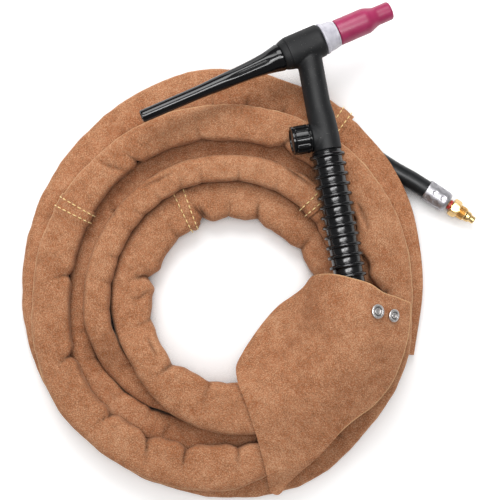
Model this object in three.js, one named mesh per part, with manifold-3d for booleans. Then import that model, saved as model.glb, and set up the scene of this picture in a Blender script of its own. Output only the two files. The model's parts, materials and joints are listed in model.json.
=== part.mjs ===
// TIG welding torch with its power cable coiled in a sewn suede sleeve.
// Millimetres, +Z up. The coil rests on Z = 0 and the torch lies on top of it.

import * as THREE from 'three';
import { mergeVertices } from 'three/addons/utils/BufferGeometryUtils.js';
import Module from 'manifold-3d';

const wasm = await Module();
wasm.setup();

const { degToRad, lerp, smoothstep } = THREE.MathUtils;

// ---------------------------------------------------------------- driving dimensions

const GAP = 0.3; // space left between separate pieces
const ROUND = 16; // sides of the turned pieces
const FINE = 20; // sides of the larger turned pieces

// Torch: the head axis and the neck axis meet at TORCH_POINT.
const TORCH_POINT = new THREE.Vector3(43.5, 161.2, 47);
const HANDLE_HEADING = degToRad(-79.8); // plan direction from the head down the handle
const HANDLE_RISE = degToRad(3.5);
const TORCH_ROLL = degToRad(6.3); // roll about the handle, which dips the nozzle
const HEAD_TILT = degToRad(14.1); // nozzle axis beyond square to the handle

// Along the nozzle axis, measured from TORCH_POINT.
const HEAD_RADIUS = 13.3;
const HEAD_REAR = -22.7;
const HEAD_FRONT = 12.8;
const HEAD_BORE = 7;
const GASKET_END = 25.9;
const NOZZLE_END = 73.5;
const CAP_LENGTH = 120;

// Down the handle, measured from TORCH_POINT.
const NECK_RADIUS = 10.1;
const BODY_END = 84.7;
const SPIGOT_END = 97;
const SPIGOT_RADIUS = 9; // the head's tail inside the grip
const CORE_RADIUS = 4.8; // gas tube inside the neck
const VALVE_TOP = 62; // where the valve body starts
const VALVE_DEPTH = 73;
const GRIP_END = 203;
const GRIP_CORE = 11.8;
const RIB_RADIUS = 13.8;
const RIB_PITCH = 8;
const RIB_COUNT = 14;
const GRIP_BORE = 9.4;

// Gas valve, measured outward from the handle axis.
const BOSS_RADIUS = 10.4;
const BOSS_FACE = 10.1;
const KNOB_LENGTH = 15.5;
const KNOB_RADIUS = 11.5;
const KNOB_FLUTES = 9;
const DISC_RADIUS = 8.5; // the disc let into the knob's face
const INSERT_RADIUS = 4.7;
const INSERT_END = 19.6;
const STEM_RADIUS = 2.8;
const STEM_BORE = 6.8;

// Cable, sleeve and flap.
const HOSE_RADIUS = 7.2;
const HOSE_BORE = 4.7;
const CONDUCTOR_RADIUS = 3.7;
const LEATHER = 1.4;
const SAMPLE_STEP = 22.5; // degrees of coil between cross sections
const HOSE_START = 109; // down the handle
const CONDUCTOR_START = 124.5; // down the handle
const COIL_CENTRE = new THREE.Vector2(-25, -28.2);

// Cable exit past the sleeve's open seam, and the machine fitting at its end.
const FITTING_POINT = new THREE.Vector3(142.5, 49.3, 8.9);
const FITTING_HEADING = degToRad(-33.5);
const HOSE_EXIT = [
  new THREE.Vector3(90, 82.5, 7.7),
  new THREE.Vector3(116, 65.2, 7.6),
  new THREE.Vector3(131, 56.7, 8.2),
];

// Flap
const FLAP_BASE = 40.5; // height of the flap where it lies on the coil
const FLAP_SPREAD = 44; // how far from the cable the flap comes down
const FLAP_CLEARANCE = 3.8;
const SNAP_HOLE = 2.3;
const SNAPS = [
  { point: new THREE.Vector2(96.8, -48), radius: 5.7 },
  { point: new THREE.Vector2(110, -51.5), radius: 5.2 },
];

// The coil, followed clockwise from the handle: degrees travelled from +X, radius from the coil's
// centre, height of the centre line, half the sleeve's width and half its height.
const COIL = [
  // first turn: comes down off the handle to the inside of the coil
  [10.5, 107.7, 60, 11, 11],
  [22.5, 114.5, 58, 12, 11],
  [45, 114, 48, 13, 11],
  [67.5, 106.5, 37.5, 17, 10],
  [90, 98, 29.5, 19.5, 9.8],
  [112.5, 90.5, 30, 17, 10],
  [135, 82.5, 29, 13.5, 9.3],
  [157.5, 76.8, 17, 15.8, 11.5],
  [180, 72.5, 12.8, 17.5, 12.8],
  [225, 68, 12.8, 17.5, 12.8],
  [270, 70.5, 12.8, 17, 12.8],
  [315, 78, 11.3, 16, 11.3],
  [337.5, 84.5, 9.8, 15, 9.8],
  [360, 91, 9.3, 14, 9.3],
  [382.5, 90, 9.3, 11.5, 9.3],
  // second turn: low under the first, then up on top of the third
  [405, 91, 9.3, 10, 9.3],
  [450, 96, 9.3, 13, 9.3],
  [472.5, 103, 9.3, 10.5, 9.3],
  [495, 106, 10.4, 10.3, 9.3],
  [517.5, 104.3, 27.6, 9.8, 9.2],
  [540, 98.5, 28.4, 10, 9.2],
  [585, 92.5, 28.4, 9.7, 9.2],
  [630, 93.7, 28.4, 9.7, 9.2],
  [675, 100.5, 28.4, 10.8, 9.2],
  [720, 104, 28.4, 12, 9.2],
  // third turn: low, in the shadow between its neighbours
  [742.5, 107.5, 26.8, 10.5, 9.2],
  [765, 110, 19.7, 10, 9.6],
  [787.5, 117.5, 12.5, 11, 9.4],
  [810, 123.5, 9.3, 13, 9.3],
  [832.5, 127.5, 9.3, 12, 9.3],
  [855, 129, 9.3, 11.5, 9.3],
  [877.5, 125.2, 9.3, 10, 9.3],
  [900, 109, 9.3, 14.5, 9.3],
  [945, 104.5, 9.3, 16, 9.3],
  [990, 106, 9.3, 16, 9.3],
  [1035, 113, 9.3, 16, 9.3],
  [1080, 120.5, 9.3, 13, 9.3],
  // fourth turn: the broad one on top
  [1102.5, 124.3, 11.3, 10.5, 9.4],
  [1125, 132, 17, 10, 9.6],
  [1147.5, 141.5, 28.2, 11, 9.2],
  [1170, 147.5, 28.4, 18, 9.2],
  [1215, 150, 28.4, 14.5, 9.2],
  [1260, 135.5, 28.4, 14.5, 9.2],
  [1305, 130.5, 28.4, 12.5, 9.2],
  [1350, 130.5, 28.4, 13.5, 9.2],
  [1395, 135.5, 28.4, 14, 9.2],
  [1440, 137, 28.4, 16, 9.2],
  [1460, 147.5, 28.4, 13, 9.2],
  // fifth turn: outermost, flat on the ground
  [1470, 152.5, 26, 11.5, 9.4],
  [1485, 156.5, 19, 10.2, 9.8],
  [1507.5, 164, 9.3, 11.5, 9.3],
  [1530, 157, 9.3, 15.5, 9.3],
  [1575, 153, 9.3, 12, 9.3],
  [1597.5, 149.8, 9.3, 13.8, 9.3],
  [1620, 144.5, 9.3, 17.5, 9.3],
  [1665, 147, 9.3, 18, 9.3],
  [1710, 156.5, 9.3, 18, 9.3],
  [1745, 155.5, 9.3, 17.5, 9.3],
];
const SLEEVE_START = 12;
const SEAMS = [249, 681, 1288.5, 1747];
const SEAM_GAP = 0.2; // degrees

// The empty end of the sleeve lies flat past the seam where the cable leaves it.
const TAIL = [
  [1749, 154.8, 18, 16.5, 1.2],
  [1765, 152.5, 17.1, 16.5, 1.2],
  [1782, 150.5, 15.5, 15.5, 1.8],
  [1800, 150, 11, 14.5, 3],
  [1821.5, 154, 7.5, 14.5, 4.5],
];

// ---------------------------------------------------------------- materials

function finish(color, roughness, metalness = 0) {
  return new THREE.MeshStandardMaterial({ color, roughness, metalness });
}

const SUEDE = finish(0xb88458, 0.95);
const HEAD_RUBBER = finish(0x26272a, 0.65);
const GLOSS_BLACK = finish(0x0f0f11, 0.2);
const HOSE_RUBBER = finish(0x17181a, 0.5);
const BRASS = finish(0xc89a3c, 0.3, 1);
const COPPER = finish(0xb87350, 0.35, 1);
const ALUMINIUM = finish(0xb9bbbf, 0.35, 1);
const NICKEL = finish(0xc9c9cc, 0.2, 1);
const TUNGSTEN = finish(0x8f9094, 0.4, 1);
const ALUMINA = finish(0xc0507c, 0.55);
const PTFE = finish(0xc9cdc8, 0.45);
const SEAL_RED = finish(0xb03028, 0.5);

// ---------------------------------------------------------------- closed bodies

function signedVolume(geometry) {
  const at = geometry.attributes.position;
  const [a, b, c] = [new THREE.Vector3(), new THREE.Vector3(), new THREE.Vector3()];
  let sum = 0;
  for (let i = 0; i < geometry.index.count; i += 3) {
    a.fromBufferAttribute(at, geometry.index.getX(i));
    b.fromBufferAttribute(at, geometry.index.getX(i + 1));
    c.fromBufferAttribute(at, geometry.index.getX(i + 2));
    sum += a.dot(b.cross(c));
  }
  return sum / 6;
}

// Shares the vertices of a geometry, drops its collapsed triangles and turns its faces outward.
function weld(geometry) {
  geometry.deleteAttribute('normal');
  geometry.deleteAttribute('uv');
  const merged = mergeVertices(geometry, 1e-4);
  const corners = merged.index.array;
  const kept = [];
  for (let i = 0; i < corners.length; i += 3) {
    const [a, b, c] = [corners[i], corners[i + 1], corners[i + 2]];
    if (a !== b && b !== c && c !== a) kept.push([a, b, c]);
  }
  merged.setIndex(kept.flat());
  if (signedVolume(merged) < 0) merged.setIndex(kept.map(([a, b, c]) => [a, c, b]).flat());
  return merged;
}

function toSolid(geometry) {
  const mesh = new wasm.Mesh({
    numProp: 3,
    vertProperties: new Float32Array(geometry.attributes.position.array),
    triVerts: new Uint32Array(geometry.index.array),
  });
  return new wasm.Manifold(mesh);
}

function fromSolid(solid) {
  const mesh = solid.getMesh();
  const geometry = new THREE.BufferGeometry();
  geometry.setAttribute('position', new THREE.BufferAttribute(mesh.vertProperties, 3));
  geometry.setIndex(new THREE.BufferAttribute(mesh.triVerts, 1));
  return geometry;
}

function combine(joined, removed = []) {
  let solid = toSolid(joined[0]);
  for (const other of joined.slice(1)) solid = solid.add(toSolid(other));
  for (const other of removed) solid = solid.subtract(toSolid(other));
  return fromSolid(solid);
}

// A turned piece about local Y. The profile holds [radius, height] pairs.
function turn(profile, sides = ROUND) {
  const points = profile.map(([radius, height]) => new THREE.Vector2(radius, height));
  return weld(new THREE.LatheGeometry(points, sides));
}

function rod(radius, from, to, sides = ROUND) {
  return turn([[0, from], [radius, from], [radius, to], [0, to]], sides);
}

function ring(inner, outer, from, to, sides = ROUND) {
  return turn([[inner, from], [outer, from], [outer, to], [inner, to], [inner, from]], sides);
}

// A hexagonal nut about local Y.
function hexNut(acrossFlats, inner, from, to) {
  const outer = acrossFlats / Math.sqrt(3);
  return combine([rod(outer, from, to, 6)], [rod(inner, from - 1, to + 1)]);
}

// Faces that join each loop of points to the next; a row that joins up ends where it began.
function sideFaces(loops, joinsUp) {
  const sides = loops[0].length;
  const at = (loop, i) => (loop % loops.length) * sides + (i % sides);
  const faces = [];
  for (let loop = 0; loop < loops.length - (joinsUp ? 0 : 1); loop += 1) {
    for (let i = 0; i < sides; i += 1) {
      faces.push([at(loop, i), at(loop, i + 1), at(loop + 1, i + 1)]);
      faces.push([at(loop, i), at(loop + 1, i + 1), at(loop + 1, i)]);
    }
  }
  return faces;
}

// A cap for a convex loop: a fan from its first point.
function fanCap(base, sides) {
  return Array.from({ length: sides - 2 }, (_, i) => [base, base + i + 1, base + i + 2]);
}

// A cap for a thin sheet's loop, whose first half is its upper line and second half its lower one.
function stripCap(base, sides) {
  const faces = [];
  for (let i = 0; i < sides / 2 - 1; i += 1) {
    faces.push([base + i, base + i + 1, base + sides - 2 - i]);
    faces.push([base + i, base + sides - 2 - i, base + sides - 1 - i]);
  }
  return faces;
}

function fromFaces(loops, faces) {
  const points = loops.flat().flatMap((p) => [p.x, p.y, p.z]);
  const geometry = new THREE.BufferGeometry();
  geometry.setAttribute('position', new THREE.Float32BufferAttribute(points, 3));
  geometry.setIndex(faces.flat());
  return weld(geometry);
}

// Skins a row of equal loops and caps both ends.
function skin(loops, cap = fanCap) {
  const sides = loops[0].length;
  const first = cap(0, sides).map(([a, b, c]) => [a, c, b]);
  const last = cap((loops.length - 1) * sides, sides);
  return fromFaces(loops, [...sideFaces(loops, false), ...first, ...last]);
}

// Skins a hollow tube: out along its outer loops and back along its inner ones.
function tube(outer, inner) {
  const loops = [...outer, ...[...inner].reverse()];
  return fromFaces(loops, sideFaces(loops, true));
}

function named(name, geometry, material) {
  const mesh = new THREE.Mesh(geometry, material);
  mesh.name = name;
  return mesh;
}

// ---------------------------------------------------------------- placement of the torch

const torch = new THREE.Group();
const handleAxis = new THREE.Vector3(
  Math.cos(HANDLE_HEADING) * Math.cos(HANDLE_RISE),
  Math.sin(HANDLE_HEADING) * Math.cos(HANDLE_RISE),
  Math.sin(HANDLE_RISE),
);
const torchUp = handleAxis.clone().negate();
const torchSide = new THREE.Vector3(torchUp.y, -torchUp.x, 0).normalize();
torchSide.applyAxisAngle(torchUp, TORCH_ROLL);
torch.quaternion.setFromRotationMatrix(
  new THREE.Matrix4().makeBasis(torchSide, torchUp, torchSide.clone().cross(torchUp)),
);
torch.position.copy(TORCH_POINT);

// Local Y of headFrame runs toward the nozzle, and local Y of valveFrame runs out through the knob.
const headFrame = new THREE.Group();
headFrame.rotation.z = HEAD_TILT - Math.PI / 2;
const valveFrame = new THREE.Group();
valveFrame.position.y = -VALVE_DEPTH;
valveFrame.rotation.z = Math.PI / 2;
torch.add(headFrame, valveFrame);

function placed(geometry, frame) {
  frame.updateMatrix();
  return geometry.applyMatrix4(frame.matrix);
}

const handlePoint = (depth) => TORCH_POINT.clone().addScaledVector(handleAxis, depth);

// ---------------------------------------------------------------- head and neck

// The moulded neck swells and shifts toward the nozzle side at the valve: [depth, shift, radius].
function neckBlank() {
  const stations = [
    [0, 0, NECK_RADIUS], [46, 0, NECK_RADIUS], [58, 0.8, 10.8], [70, 1.2, 11.1],
    [BODY_END, 1.3, 11.2],
  ];
  const loops = stations.map(([depth, shift, radius]) =>
    Array.from({ length: FINE }, (_, i) => {
      const angle = (i / FINE) * 2 * Math.PI;
      return new THREE.Vector3(shift + radius * Math.cos(angle), -depth, radius * Math.sin(angle));
    }),
  );
  return skin(loops);
}

function headBody() {
  const barrel = turn([
    [0, HEAD_REAR], [11, HEAD_REAR], [HEAD_RADIUS, HEAD_REAR + 6.4],
    [HEAD_RADIUS, HEAD_FRONT - 0.8], [12.6, HEAD_FRONT], [0, HEAD_FRONT],
  ], FINE);
  const boss = rod(BOSS_RADIUS, 0, BOSS_FACE);
  const spigot = rod(SPIGOT_RADIUS, -SPIGOT_END, -BODY_END + 1);
  const neckBore = rod(CORE_RADIUS + GAP + 0.1, -BODY_END, 0);
  const valveBore = rod(HEAD_BORE + GAP, -SPIGOT_END - 1, -VALVE_TOP + GAP);
  const headBore = rod(HEAD_BORE, HEAD_REAR - 1, HEAD_FRONT + 1);
  const stemBore = rod(STEM_BORE, 0, BOSS_FACE + 1);
  return combine(
    [placed(barrel, headFrame), neckBlank(), placed(boss, valveFrame), spigot],
    [placed(headBore, headFrame), neckBore, valveBore, placed(stemBore, valveFrame)],
  );
}

function torchCore() {
  const barrel = rod(HEAD_BORE - GAP, -16, HEAD_FRONT - GAP);
  const bore = rod(4.6, -17, HEAD_FRONT);
  const gasway = rod(2.6, -VALVE_TOP, 0);
  return combine(
    [placed(barrel, headFrame), rod(CORE_RADIUS, -VALVE_TOP + 2 * GAP, 0)],
    [placed(bore, headFrame), gasway],
  );
}

torch.add(
  named('head_body', headBody(), HEAD_RUBBER),
  named('torch_core', torchCore(), COPPER),
);

// ---------------------------------------------------------------- nozzle end

const colletBody = turn([
  [2.3, -2], [4.3, -2], [4.3, HEAD_FRONT + GAP], [5.6, HEAD_FRONT + GAP], [5.6, 34],
  [3.9, 34.6], [3.9, 46], [2.3, 46], [2.3, -2],
]);
const gasket = turn([
  [6, HEAD_FRONT + GAP], [12.4, HEAD_FRONT + GAP], [12.8, 15], [12.2, 16], [10.9, 23.4],
  [10.5, 24], [10.5, GASKET_END], [6, GASKET_END], [6, HEAD_FRONT + GAP],
]);
const NOZZLE_START = GASKET_END + GAP;
const nozzle = turn([
  [6, NOZZLE_START], [9.9, NOZZLE_START], [10.4, NOZZLE_START + 0.6], [10.4, 51], [10.1, 53.5],
  [8.9, 56], [7.8, 59], [7.5, 61.5], [7.5, NOZZLE_END - 0.9], [6.7, NOZZLE_END],
  [5.7, NOZZLE_END - 0.4], [5.4, NOZZLE_END - 1.5], [5.4, 58], [6.5, 52], [6.5, 36], [6, 35],
  [6, NOZZLE_START],
], FINE);
const electrode = turn([[0, -76], [0.8, -76], [0.8, 64], [0.2, 69.6], [0, 69.6]], 8);

headFrame.add(
  named('collet_body', colletBody, BRASS),
  named('collet', ring(1.1, 1.95, -10, 40, 12), COPPER),
  named('tungsten_electrode', electrode, TUNGSTEN),
  named('cup_gasket', gasket, PTFE),
  named('gas_nozzle', nozzle, ALUMINA),
);

// ---------------------------------------------------------------- back cap

const CAP_START = HEAD_REAR - GAP;
const CAP_TIP = CAP_START - CAP_LENGTH;
const backCap = turn([
  [2.4, CAP_TIP + 3], [0, CAP_TIP + 3], [0, CAP_TIP], [4.4, CAP_TIP], [5, CAP_TIP + 0.7],
  [5.2, CAP_START - 72], [5.9, CAP_START - 56], [7.3, CAP_START - 27], [8.6, CAP_START - 14],
  [9.8, CAP_START - 7], [11, CAP_START - 1.5], [11, CAP_START], [4.2, CAP_START],
  [4.2, -11], [1.6, -11], [1.6, CAP_START - 4], [2.4, CAP_START - 8], [2.4, CAP_TIP + 3],
], FINE);
const capRing = new THREE.TorusGeometry(5.7, 1.1, 8, ROUND).rotateX(Math.PI / 2);

headFrame.add(
  named('back_cap', weld(backCap), GLOSS_BLACK),
  named('back_cap_o_ring', weld(capRing.translate(0, -19.4, 0)), HOSE_RUBBER),
);

// ---------------------------------------------------------------- gas valve

const KNOB_START = BOSS_FACE + GAP;
const KNOB_END = KNOB_START + KNOB_LENGTH;

function valveBody() {
  const shell = rod(HEAD_BORE - 0.1, -SPIGOT_END + 0.5, -VALVE_TOP);
  const gasway = rod(2.4, -SPIGOT_END, -VALVE_TOP + 1);
  const stemHole = rod(STEM_RADIUS + GAP, -2.2, HEAD_BORE + 1);
  const ringSeat = rod(5, 4.6, HEAD_BORE + 1);
  return combine([shell], [gasway, placed(stemHole, valveFrame), placed(ringSeat, valveFrame)]);
}

// The knob: a fluted drum with a thin flange toward the body and a dished outer face.
function knob() {
  const outline = new THREE.Shape();
  const steps = KNOB_FLUTES * 6;
  for (let i = 0; i < steps; i += 1) {
    const angle = (i / steps) * 2 * Math.PI;
    const flute = Math.max(0, Math.cos(angle * KNOB_FLUTES)) ** 2;
    const radius = KNOB_RADIUS - 1.1 * flute;
    outline[i ? 'lineTo' : 'moveTo'](radius * Math.cos(angle), radius * Math.sin(angle));
  }
  const [flangeEnd, rimStart] = [KNOB_START + 1.4, KNOB_END - 2.2];
  const depth = rimStart - flangeEnd + 0.4;
  const drum = new THREE.ExtrudeGeometry(outline, { depth, bevelEnabled: false });
  drum.rotateX(-Math.PI / 2).translate(0, flangeEnd - 0.2, 0);
  const flange = rod(KNOB_RADIUS - 0.2, KNOB_START, flangeEnd, FINE);
  const rim = rod(KNOB_RADIUS - 0.4, rimStart, KNOB_END, FINE);
  const dish = rod(DISC_RADIUS + GAP, rimStart - 0.2, KNOB_END + 1, FINE);
  const insertBore = rod(INSERT_RADIUS + GAP, KNOB_START - 1, INSERT_END + 2 * GAP);
  return combine([weld(drum), flange, rim], [dish, insertBore]);
}

torch.add(named('valve_body', valveBody(), BRASS));
const valveRing = new THREE.TorusGeometry(3.95, 0.75, 6, ROUND).rotateX(Math.PI / 2);
const stem = turn([[0, -1.6], [0.8, -1.6], [STEM_RADIUS, 1.6], [STEM_RADIUS, 19.6], [0, 19.6]], 12);
valveFrame.add(
  named('valve_stem', stem, BRASS),
  named('valve_o_ring', weld(valveRing.translate(0, 5.8, 0)), HOSE_RUBBER),
  named('valve_packing_nut', hexNut(11.4, STEM_RADIUS + GAP, 7.4, BOSS_FACE), BRASS),
  named('valve_knob', knob(), GLOSS_BLACK),
  named('knob_insert', ring(STEM_RADIUS + GAP, INSERT_RADIUS, 11.5, INSERT_END), BRASS),
  named('knob_disc', rod(DISC_RADIUS, KNOB_END - 2.1, KNOB_END - 1, FINE), GLOSS_BLACK),
);

// ---------------------------------------------------------------- handle

// Grip with plain raised rings, one every RIB_PITCH.
function grip() {
  const top = BODY_END + GAP;
  const profile = [[GRIP_BORE, -top], [GRIP_CORE - 0.4, -top]];
  for (let rib = 0; rib < RIB_COUNT; rib += 1) {
    const middle = -(top + 4.2 + rib * RIB_PITCH);
    profile.push([GRIP_CORE, middle + 1.9], [RIB_RADIUS, middle + 0.7]);
    profile.push([RIB_RADIUS, middle - 0.7], [GRIP_CORE, middle - 1.9]);
  }
  profile.push([GRIP_CORE, -GRIP_END], [GRIP_BORE, -GRIP_END], [GRIP_BORE, -top]);
  return turn(profile);
}

const cableStud = turn([
  [1.6, -124], [3.6, -124], [3.6, -108.4], [5.2, -108.2], [5.2, -98.2], [6.6, -98],
  [6.6, -SPIGOT_END + 0.2], [1.6, -SPIGOT_END + 0.2], [1.6, -124],
]);
torch.add(
  named('handle_grip', grip(), GLOSS_BLACK),
  named('cable_stud', cableStud, BRASS),
  named('cable_nut', hexNut(15.2, 5.5, -107.6, -98.6), BRASS),
  named('cable_ferrule', ring(8.3, 9.1, -126, -110), ALUMINIUM),
);

// ---------------------------------------------------------------- coil centre line

// Reads a row of the coil table at any angle, with a smooth curve that doesn't overshoot.
function readTable(table, angle) {
  let i = table.findIndex((row) => row[0] >= angle);
  i = Math.max(1, i < 0 ? table.length - 1 : i);
  const slope = (k, column) => {
    if (k === 0 || k === table.length - 1) return 0;
    const before = (table[k][column] - table[k - 1][column]) / (table[k][0] - table[k - 1][0]);
    const after = (table[k + 1][column] - table[k][column]) / (table[k + 1][0] - table[k][0]);
    return before * after <= 0 ? 0 : (2 * before * after) / (before + after);
  };
  const span = table[i][0] - table[i - 1][0];
  const t = (angle - table[i - 1][0]) / span;
  return [1, 2, 3, 4].map((column) => {
    const [a, b] = [table[i - 1][column], table[i][column]];
    const [m, n] = [slope(i - 1, column) * span, slope(i, column) * span];
    return a + m * t + (3 * (b - a) - 2 * m - n) * t ** 2 + (2 * (a - b) + m + n) * t ** 3;
  });
}

function coilPoint(table, angle) {
  const [radius, height] = readTable(table, angle);
  const turned = degToRad(-angle);
  return new THREE.Vector3(
    COIL_CENTRE.x + radius * Math.cos(turned),
    COIL_CENTRE.y + radius * Math.sin(turned),
    height,
  );
}

// A cross-section frame: where it is, which way is sideways and which way is up.
function section(point, along) {
  const side = new THREE.Vector3(along.y, -along.x, 0).normalize();
  return { point, side, up: side.clone().cross(along).normalize() };
}

function coilSection(table, angle) {
  const [, , halfWidth, halfHeight] = readTable(table, angle);
  const along = coilPoint(table, angle + 0.5).sub(coilPoint(table, angle - 0.5));
  along.z = 0;
  return { ...section(coilPoint(table, angle), along.normalize()), halfWidth, halfHeight };
}

function samples(from, to, stops = []) {
  const angles = [from, to, ...stops.filter((stop) => stop > from && stop < to)];
  for (let k = Math.ceil(from / SAMPLE_STEP); k * SAMPLE_STEP < to; k += 1) angles.push(k * SAMPLE_STEP);
  const sorted = [...new Set(angles)].sort((a, b) => a - b);
  return sorted.filter((angle, i) => i === 0 || angle - sorted[i - 1] > 1);
}

// A loop with flat top, bottom and sides and its corners cut at 45 degrees.
function flattened(frame, halfWidth, halfHeight) {
  const cut = Math.min(halfWidth, halfHeight) * 0.586;
  const corners = [
    [halfWidth, halfHeight - cut], [halfWidth - cut, halfHeight],
    [cut - halfWidth, halfHeight], [-halfWidth, halfHeight - cut],
    [-halfWidth, cut - halfHeight], [cut - halfWidth, -halfHeight],
    [halfWidth - cut, -halfHeight], [halfWidth, cut - halfHeight],
  ];
  return corners.map(([x, z]) =>
    frame.point.clone().addScaledVector(frame.side, x).addScaledVector(frame.up, z),
  );
}

// ---------------------------------------------------------------- cable

const cableFrames = [
  section(handlePoint(HOSE_START), handleAxis),
  section(handlePoint(GRIP_END - 20), handleAxis),
  ...samples(SLEEVE_START, SEAMS.at(-1), SEAMS).map((angle) => coilSection(COIL, angle)),
];
const fittingAxis = new THREE.Vector3(Math.cos(FITTING_HEADING), Math.sin(FITTING_HEADING), 0);
const exitPoints = [cableFrames.at(-1).point, ...HOSE_EXIT, FITTING_POINT];
for (let i = 1; i < exitPoints.length; i += 1) {
  const along = exitPoints[Math.min(i + 1, exitPoints.length - 1)].clone().sub(exitPoints[i - 1]);
  cableFrames.push(section(exitPoints[i], i === exitPoints.length - 1 ? fittingAxis : along.setZ(0)));
}
const FERRULE_REACH = 16; // how far the hose runs inside the end ferrule
cableFrames.push(section(FITTING_POINT.clone().addScaledVector(fittingAxis, FERRULE_REACH), fittingAxis));

const loopsOf = (frames, radius) => frames.map((frame) => flattened(frame, radius, radius));
const hose = tube(loopsOf(cableFrames, HOSE_RADIUS), loopsOf(cableFrames, HOSE_BORE));

// The conductor starts and ends a little inside the hose.
const conductorFrames = [
  section(handlePoint(CONDUCTOR_START), handleAxis),
  ...cableFrames.slice(1, -2),
  section(FITTING_POINT.clone().addScaledVector(fittingAxis, 4), fittingAxis),
];
const conductorLoops = loopsOf(conductorFrames, CONDUCTOR_RADIUS);
const everyOther = (loop) => loop.filter((_, i) => i % 2 === 0);

const cable = new THREE.Group();
cable.add(
  named('cable_hose', hose, HOSE_RUBBER),
  named('copper_conductor', skin(conductorLoops.map(everyOther)), COPPER),
);

// ---------------------------------------------------------------- machine fitting

const fitting = new THREE.Group();
fitting.position.copy(FITTING_POINT);
fitting.rotation.z = FITTING_HEADING - Math.PI / 2;

// Local Y runs from the ferrule toward the nose.
const ferrule = turn([
  [HOSE_RADIUS + 0.75, 0], [8.3, 0], [8.6, 1.5], [8.6, 18.5], [7.6, 20.6], [5.5, 20.8], [5.5, 16.6],
  [HOSE_RADIUS + 0.75, 16.6], [HOSE_RADIUS + 0.75, 0],
]);
const nipple = turn([
  [1.5, 4.6], [3.4, 4.6], [3.4, 16.8], [4.6, 17], [4.6, 21.2], [2.9, 21.4], [2.9, 38.6], [4.3, 39],
  [4.3, 41.5], [3.7, 42.6], [3.1, 42.8], [3.1, 46.2], [2.6, 46.8], [1.5, 46.8], [1.5, 4.6],
]);
function swivelNut() {
  const thread = turn([
    [0, 31], [5.7, 31], [5.2, 31.6], [5.7, 32.2], [5.2, 32.8], [5.7, 33.4], [5.2, 34], [5.7, 34.6],
    [5.2, 35.2], [5.7, 35.8], [5.2, 36.4], [5.7, 37], [5.3, 38.3], [0, 38.3],
  ]);
  return combine([rod(7.5, 24.7, 31.2, 6), thread], [rod(3.2, 24, 39)]);
}
fitting.add(
  named('crimp_ferrule', ferrule, ALUMINIUM),
  named('hose_barb', nipple, BRASS),
  named('seal_ring', ring(3.2, 4.2, 21.9, 24.2), SEAL_RED),
  named('swivel_nut', swivelNut(), BRASS),
);

// ---------------------------------------------------------------- suede sleeve

function sleeveLength(table, from, to) {
  const frames = samples(from, to).map((angle) => coilSection(table, angle));
  const outer = frames.map((frame) => flattened(frame, frame.halfWidth, frame.halfHeight));
  const inner = frames.map((frame) =>
    flattened(frame, frame.halfWidth - LEATHER, frame.halfHeight - LEATHER),
  );
  return tube(outer, inner);
}

const sleeve = new THREE.Group();
SEAMS.forEach((seam, i) => {
  const from = i === 0 ? SLEEVE_START : SEAMS[i - 1] + SEAM_GAP;
  sleeve.add(named(`sleeve_section_${i + 1}`, sleeveLength(COIL, from, seam - SEAM_GAP), SUEDE));
});

const tailLoops = TAIL.map(([angle]) => {
  const frame = coilSection(TAIL, angle);
  return flattened(frame, frame.halfWidth, frame.halfHeight);
});
sleeve.add(named('sleeve_tail', skin(tailLoops), SUEDE));

// ---------------------------------------------------------------- flap

const edge = (points) => new THREE.SplineCurve(points.map(([x, y]) => new THREE.Vector2(x, y)));
const FLAP_TOP = edge([
  [49, -24], [61, -18.8], [79, -22.5], [92, -26.5], [102.5, -33.5], [112, -36.5], [125, -42],
]);
const FLAP_LEFT = edge([
  [49, -24], [33.5, -35.5], [17, -48.5], [-2, -73.5], [-13, -95], [-9, -111], [-1, -133], [8, -164],
  [15, -195],
]);
const FLAP_RIGHT = edge([
  [125, -42], [124, -63], [118, -87], [110, -106], [95, -124], [75, -139], [53, -164], [37, -179],
  [20, -197],
]);

// The cable and handle that the flap is draped over, with the height of their tops.
const ridge = [170, 185, 200].map((depth) => ({ at: handlePoint(depth), top: RIB_RADIUS }));
for (let angle = SLEEVE_START; angle < 120; angle += 8) {
  const [, , , halfHeight] = readTable(COIL, angle);
  const onGrip = 1 - smoothstep(angle, SLEEVE_START, 45);
  ridge.push({ at: coilPoint(COIL, angle), top: lerp(halfHeight, RIB_RADIUS, onGrip) });
}

function flapHeight(x, y) {
  let height = FLAP_BASE;
  ridge.forEach(({ at, top }) => {
    const distance = Math.hypot(x - at.x, y - at.y);
    const rise = Math.max(0, at.z + top + FLAP_CLEARANCE - FLAP_BASE);
    height = Math.max(height, FLAP_BASE + rise * Math.exp(-((distance / FLAP_SPREAD) ** 2)));
  });
  return height;
}

// A point of the flap: s runs from its left edge to its right edge, t from its mouth to its tip.
function flapPoint(s, t) {
  const point = FLAP_LEFT.getPoint(t).lerp(FLAP_RIGHT.getPoint(t), s);
  const chord = FLAP_TOP.getPoint(0).lerp(FLAP_TOP.getPoint(1), s);
  return point.addScaledVector(FLAP_TOP.getPoint(s).sub(chord), (1 - t) ** 3);
}

// A sheet of leather over part of the flap's outline, lowered by drop.
function leatherSheet(sRange, tRange, across, down, drop) {
  const loops = [];
  for (let row = 0; row <= down; row += 1) {
    const t = lerp(...tRange, row / down);
    const line = Array.from({ length: across + 1 }, (_, i) => flapPoint(lerp(...sRange, i / across), t));
    const upper = line.map((p) => new THREE.Vector3(p.x, p.y, flapHeight(p.x, p.y) - drop));
    const lower = upper.map((p) => p.clone().setZ(p.z - LEATHER)).reverse();
    loops.push([...upper, ...lower]);
  }
  return skin(loops, stripCap);
}

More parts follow.
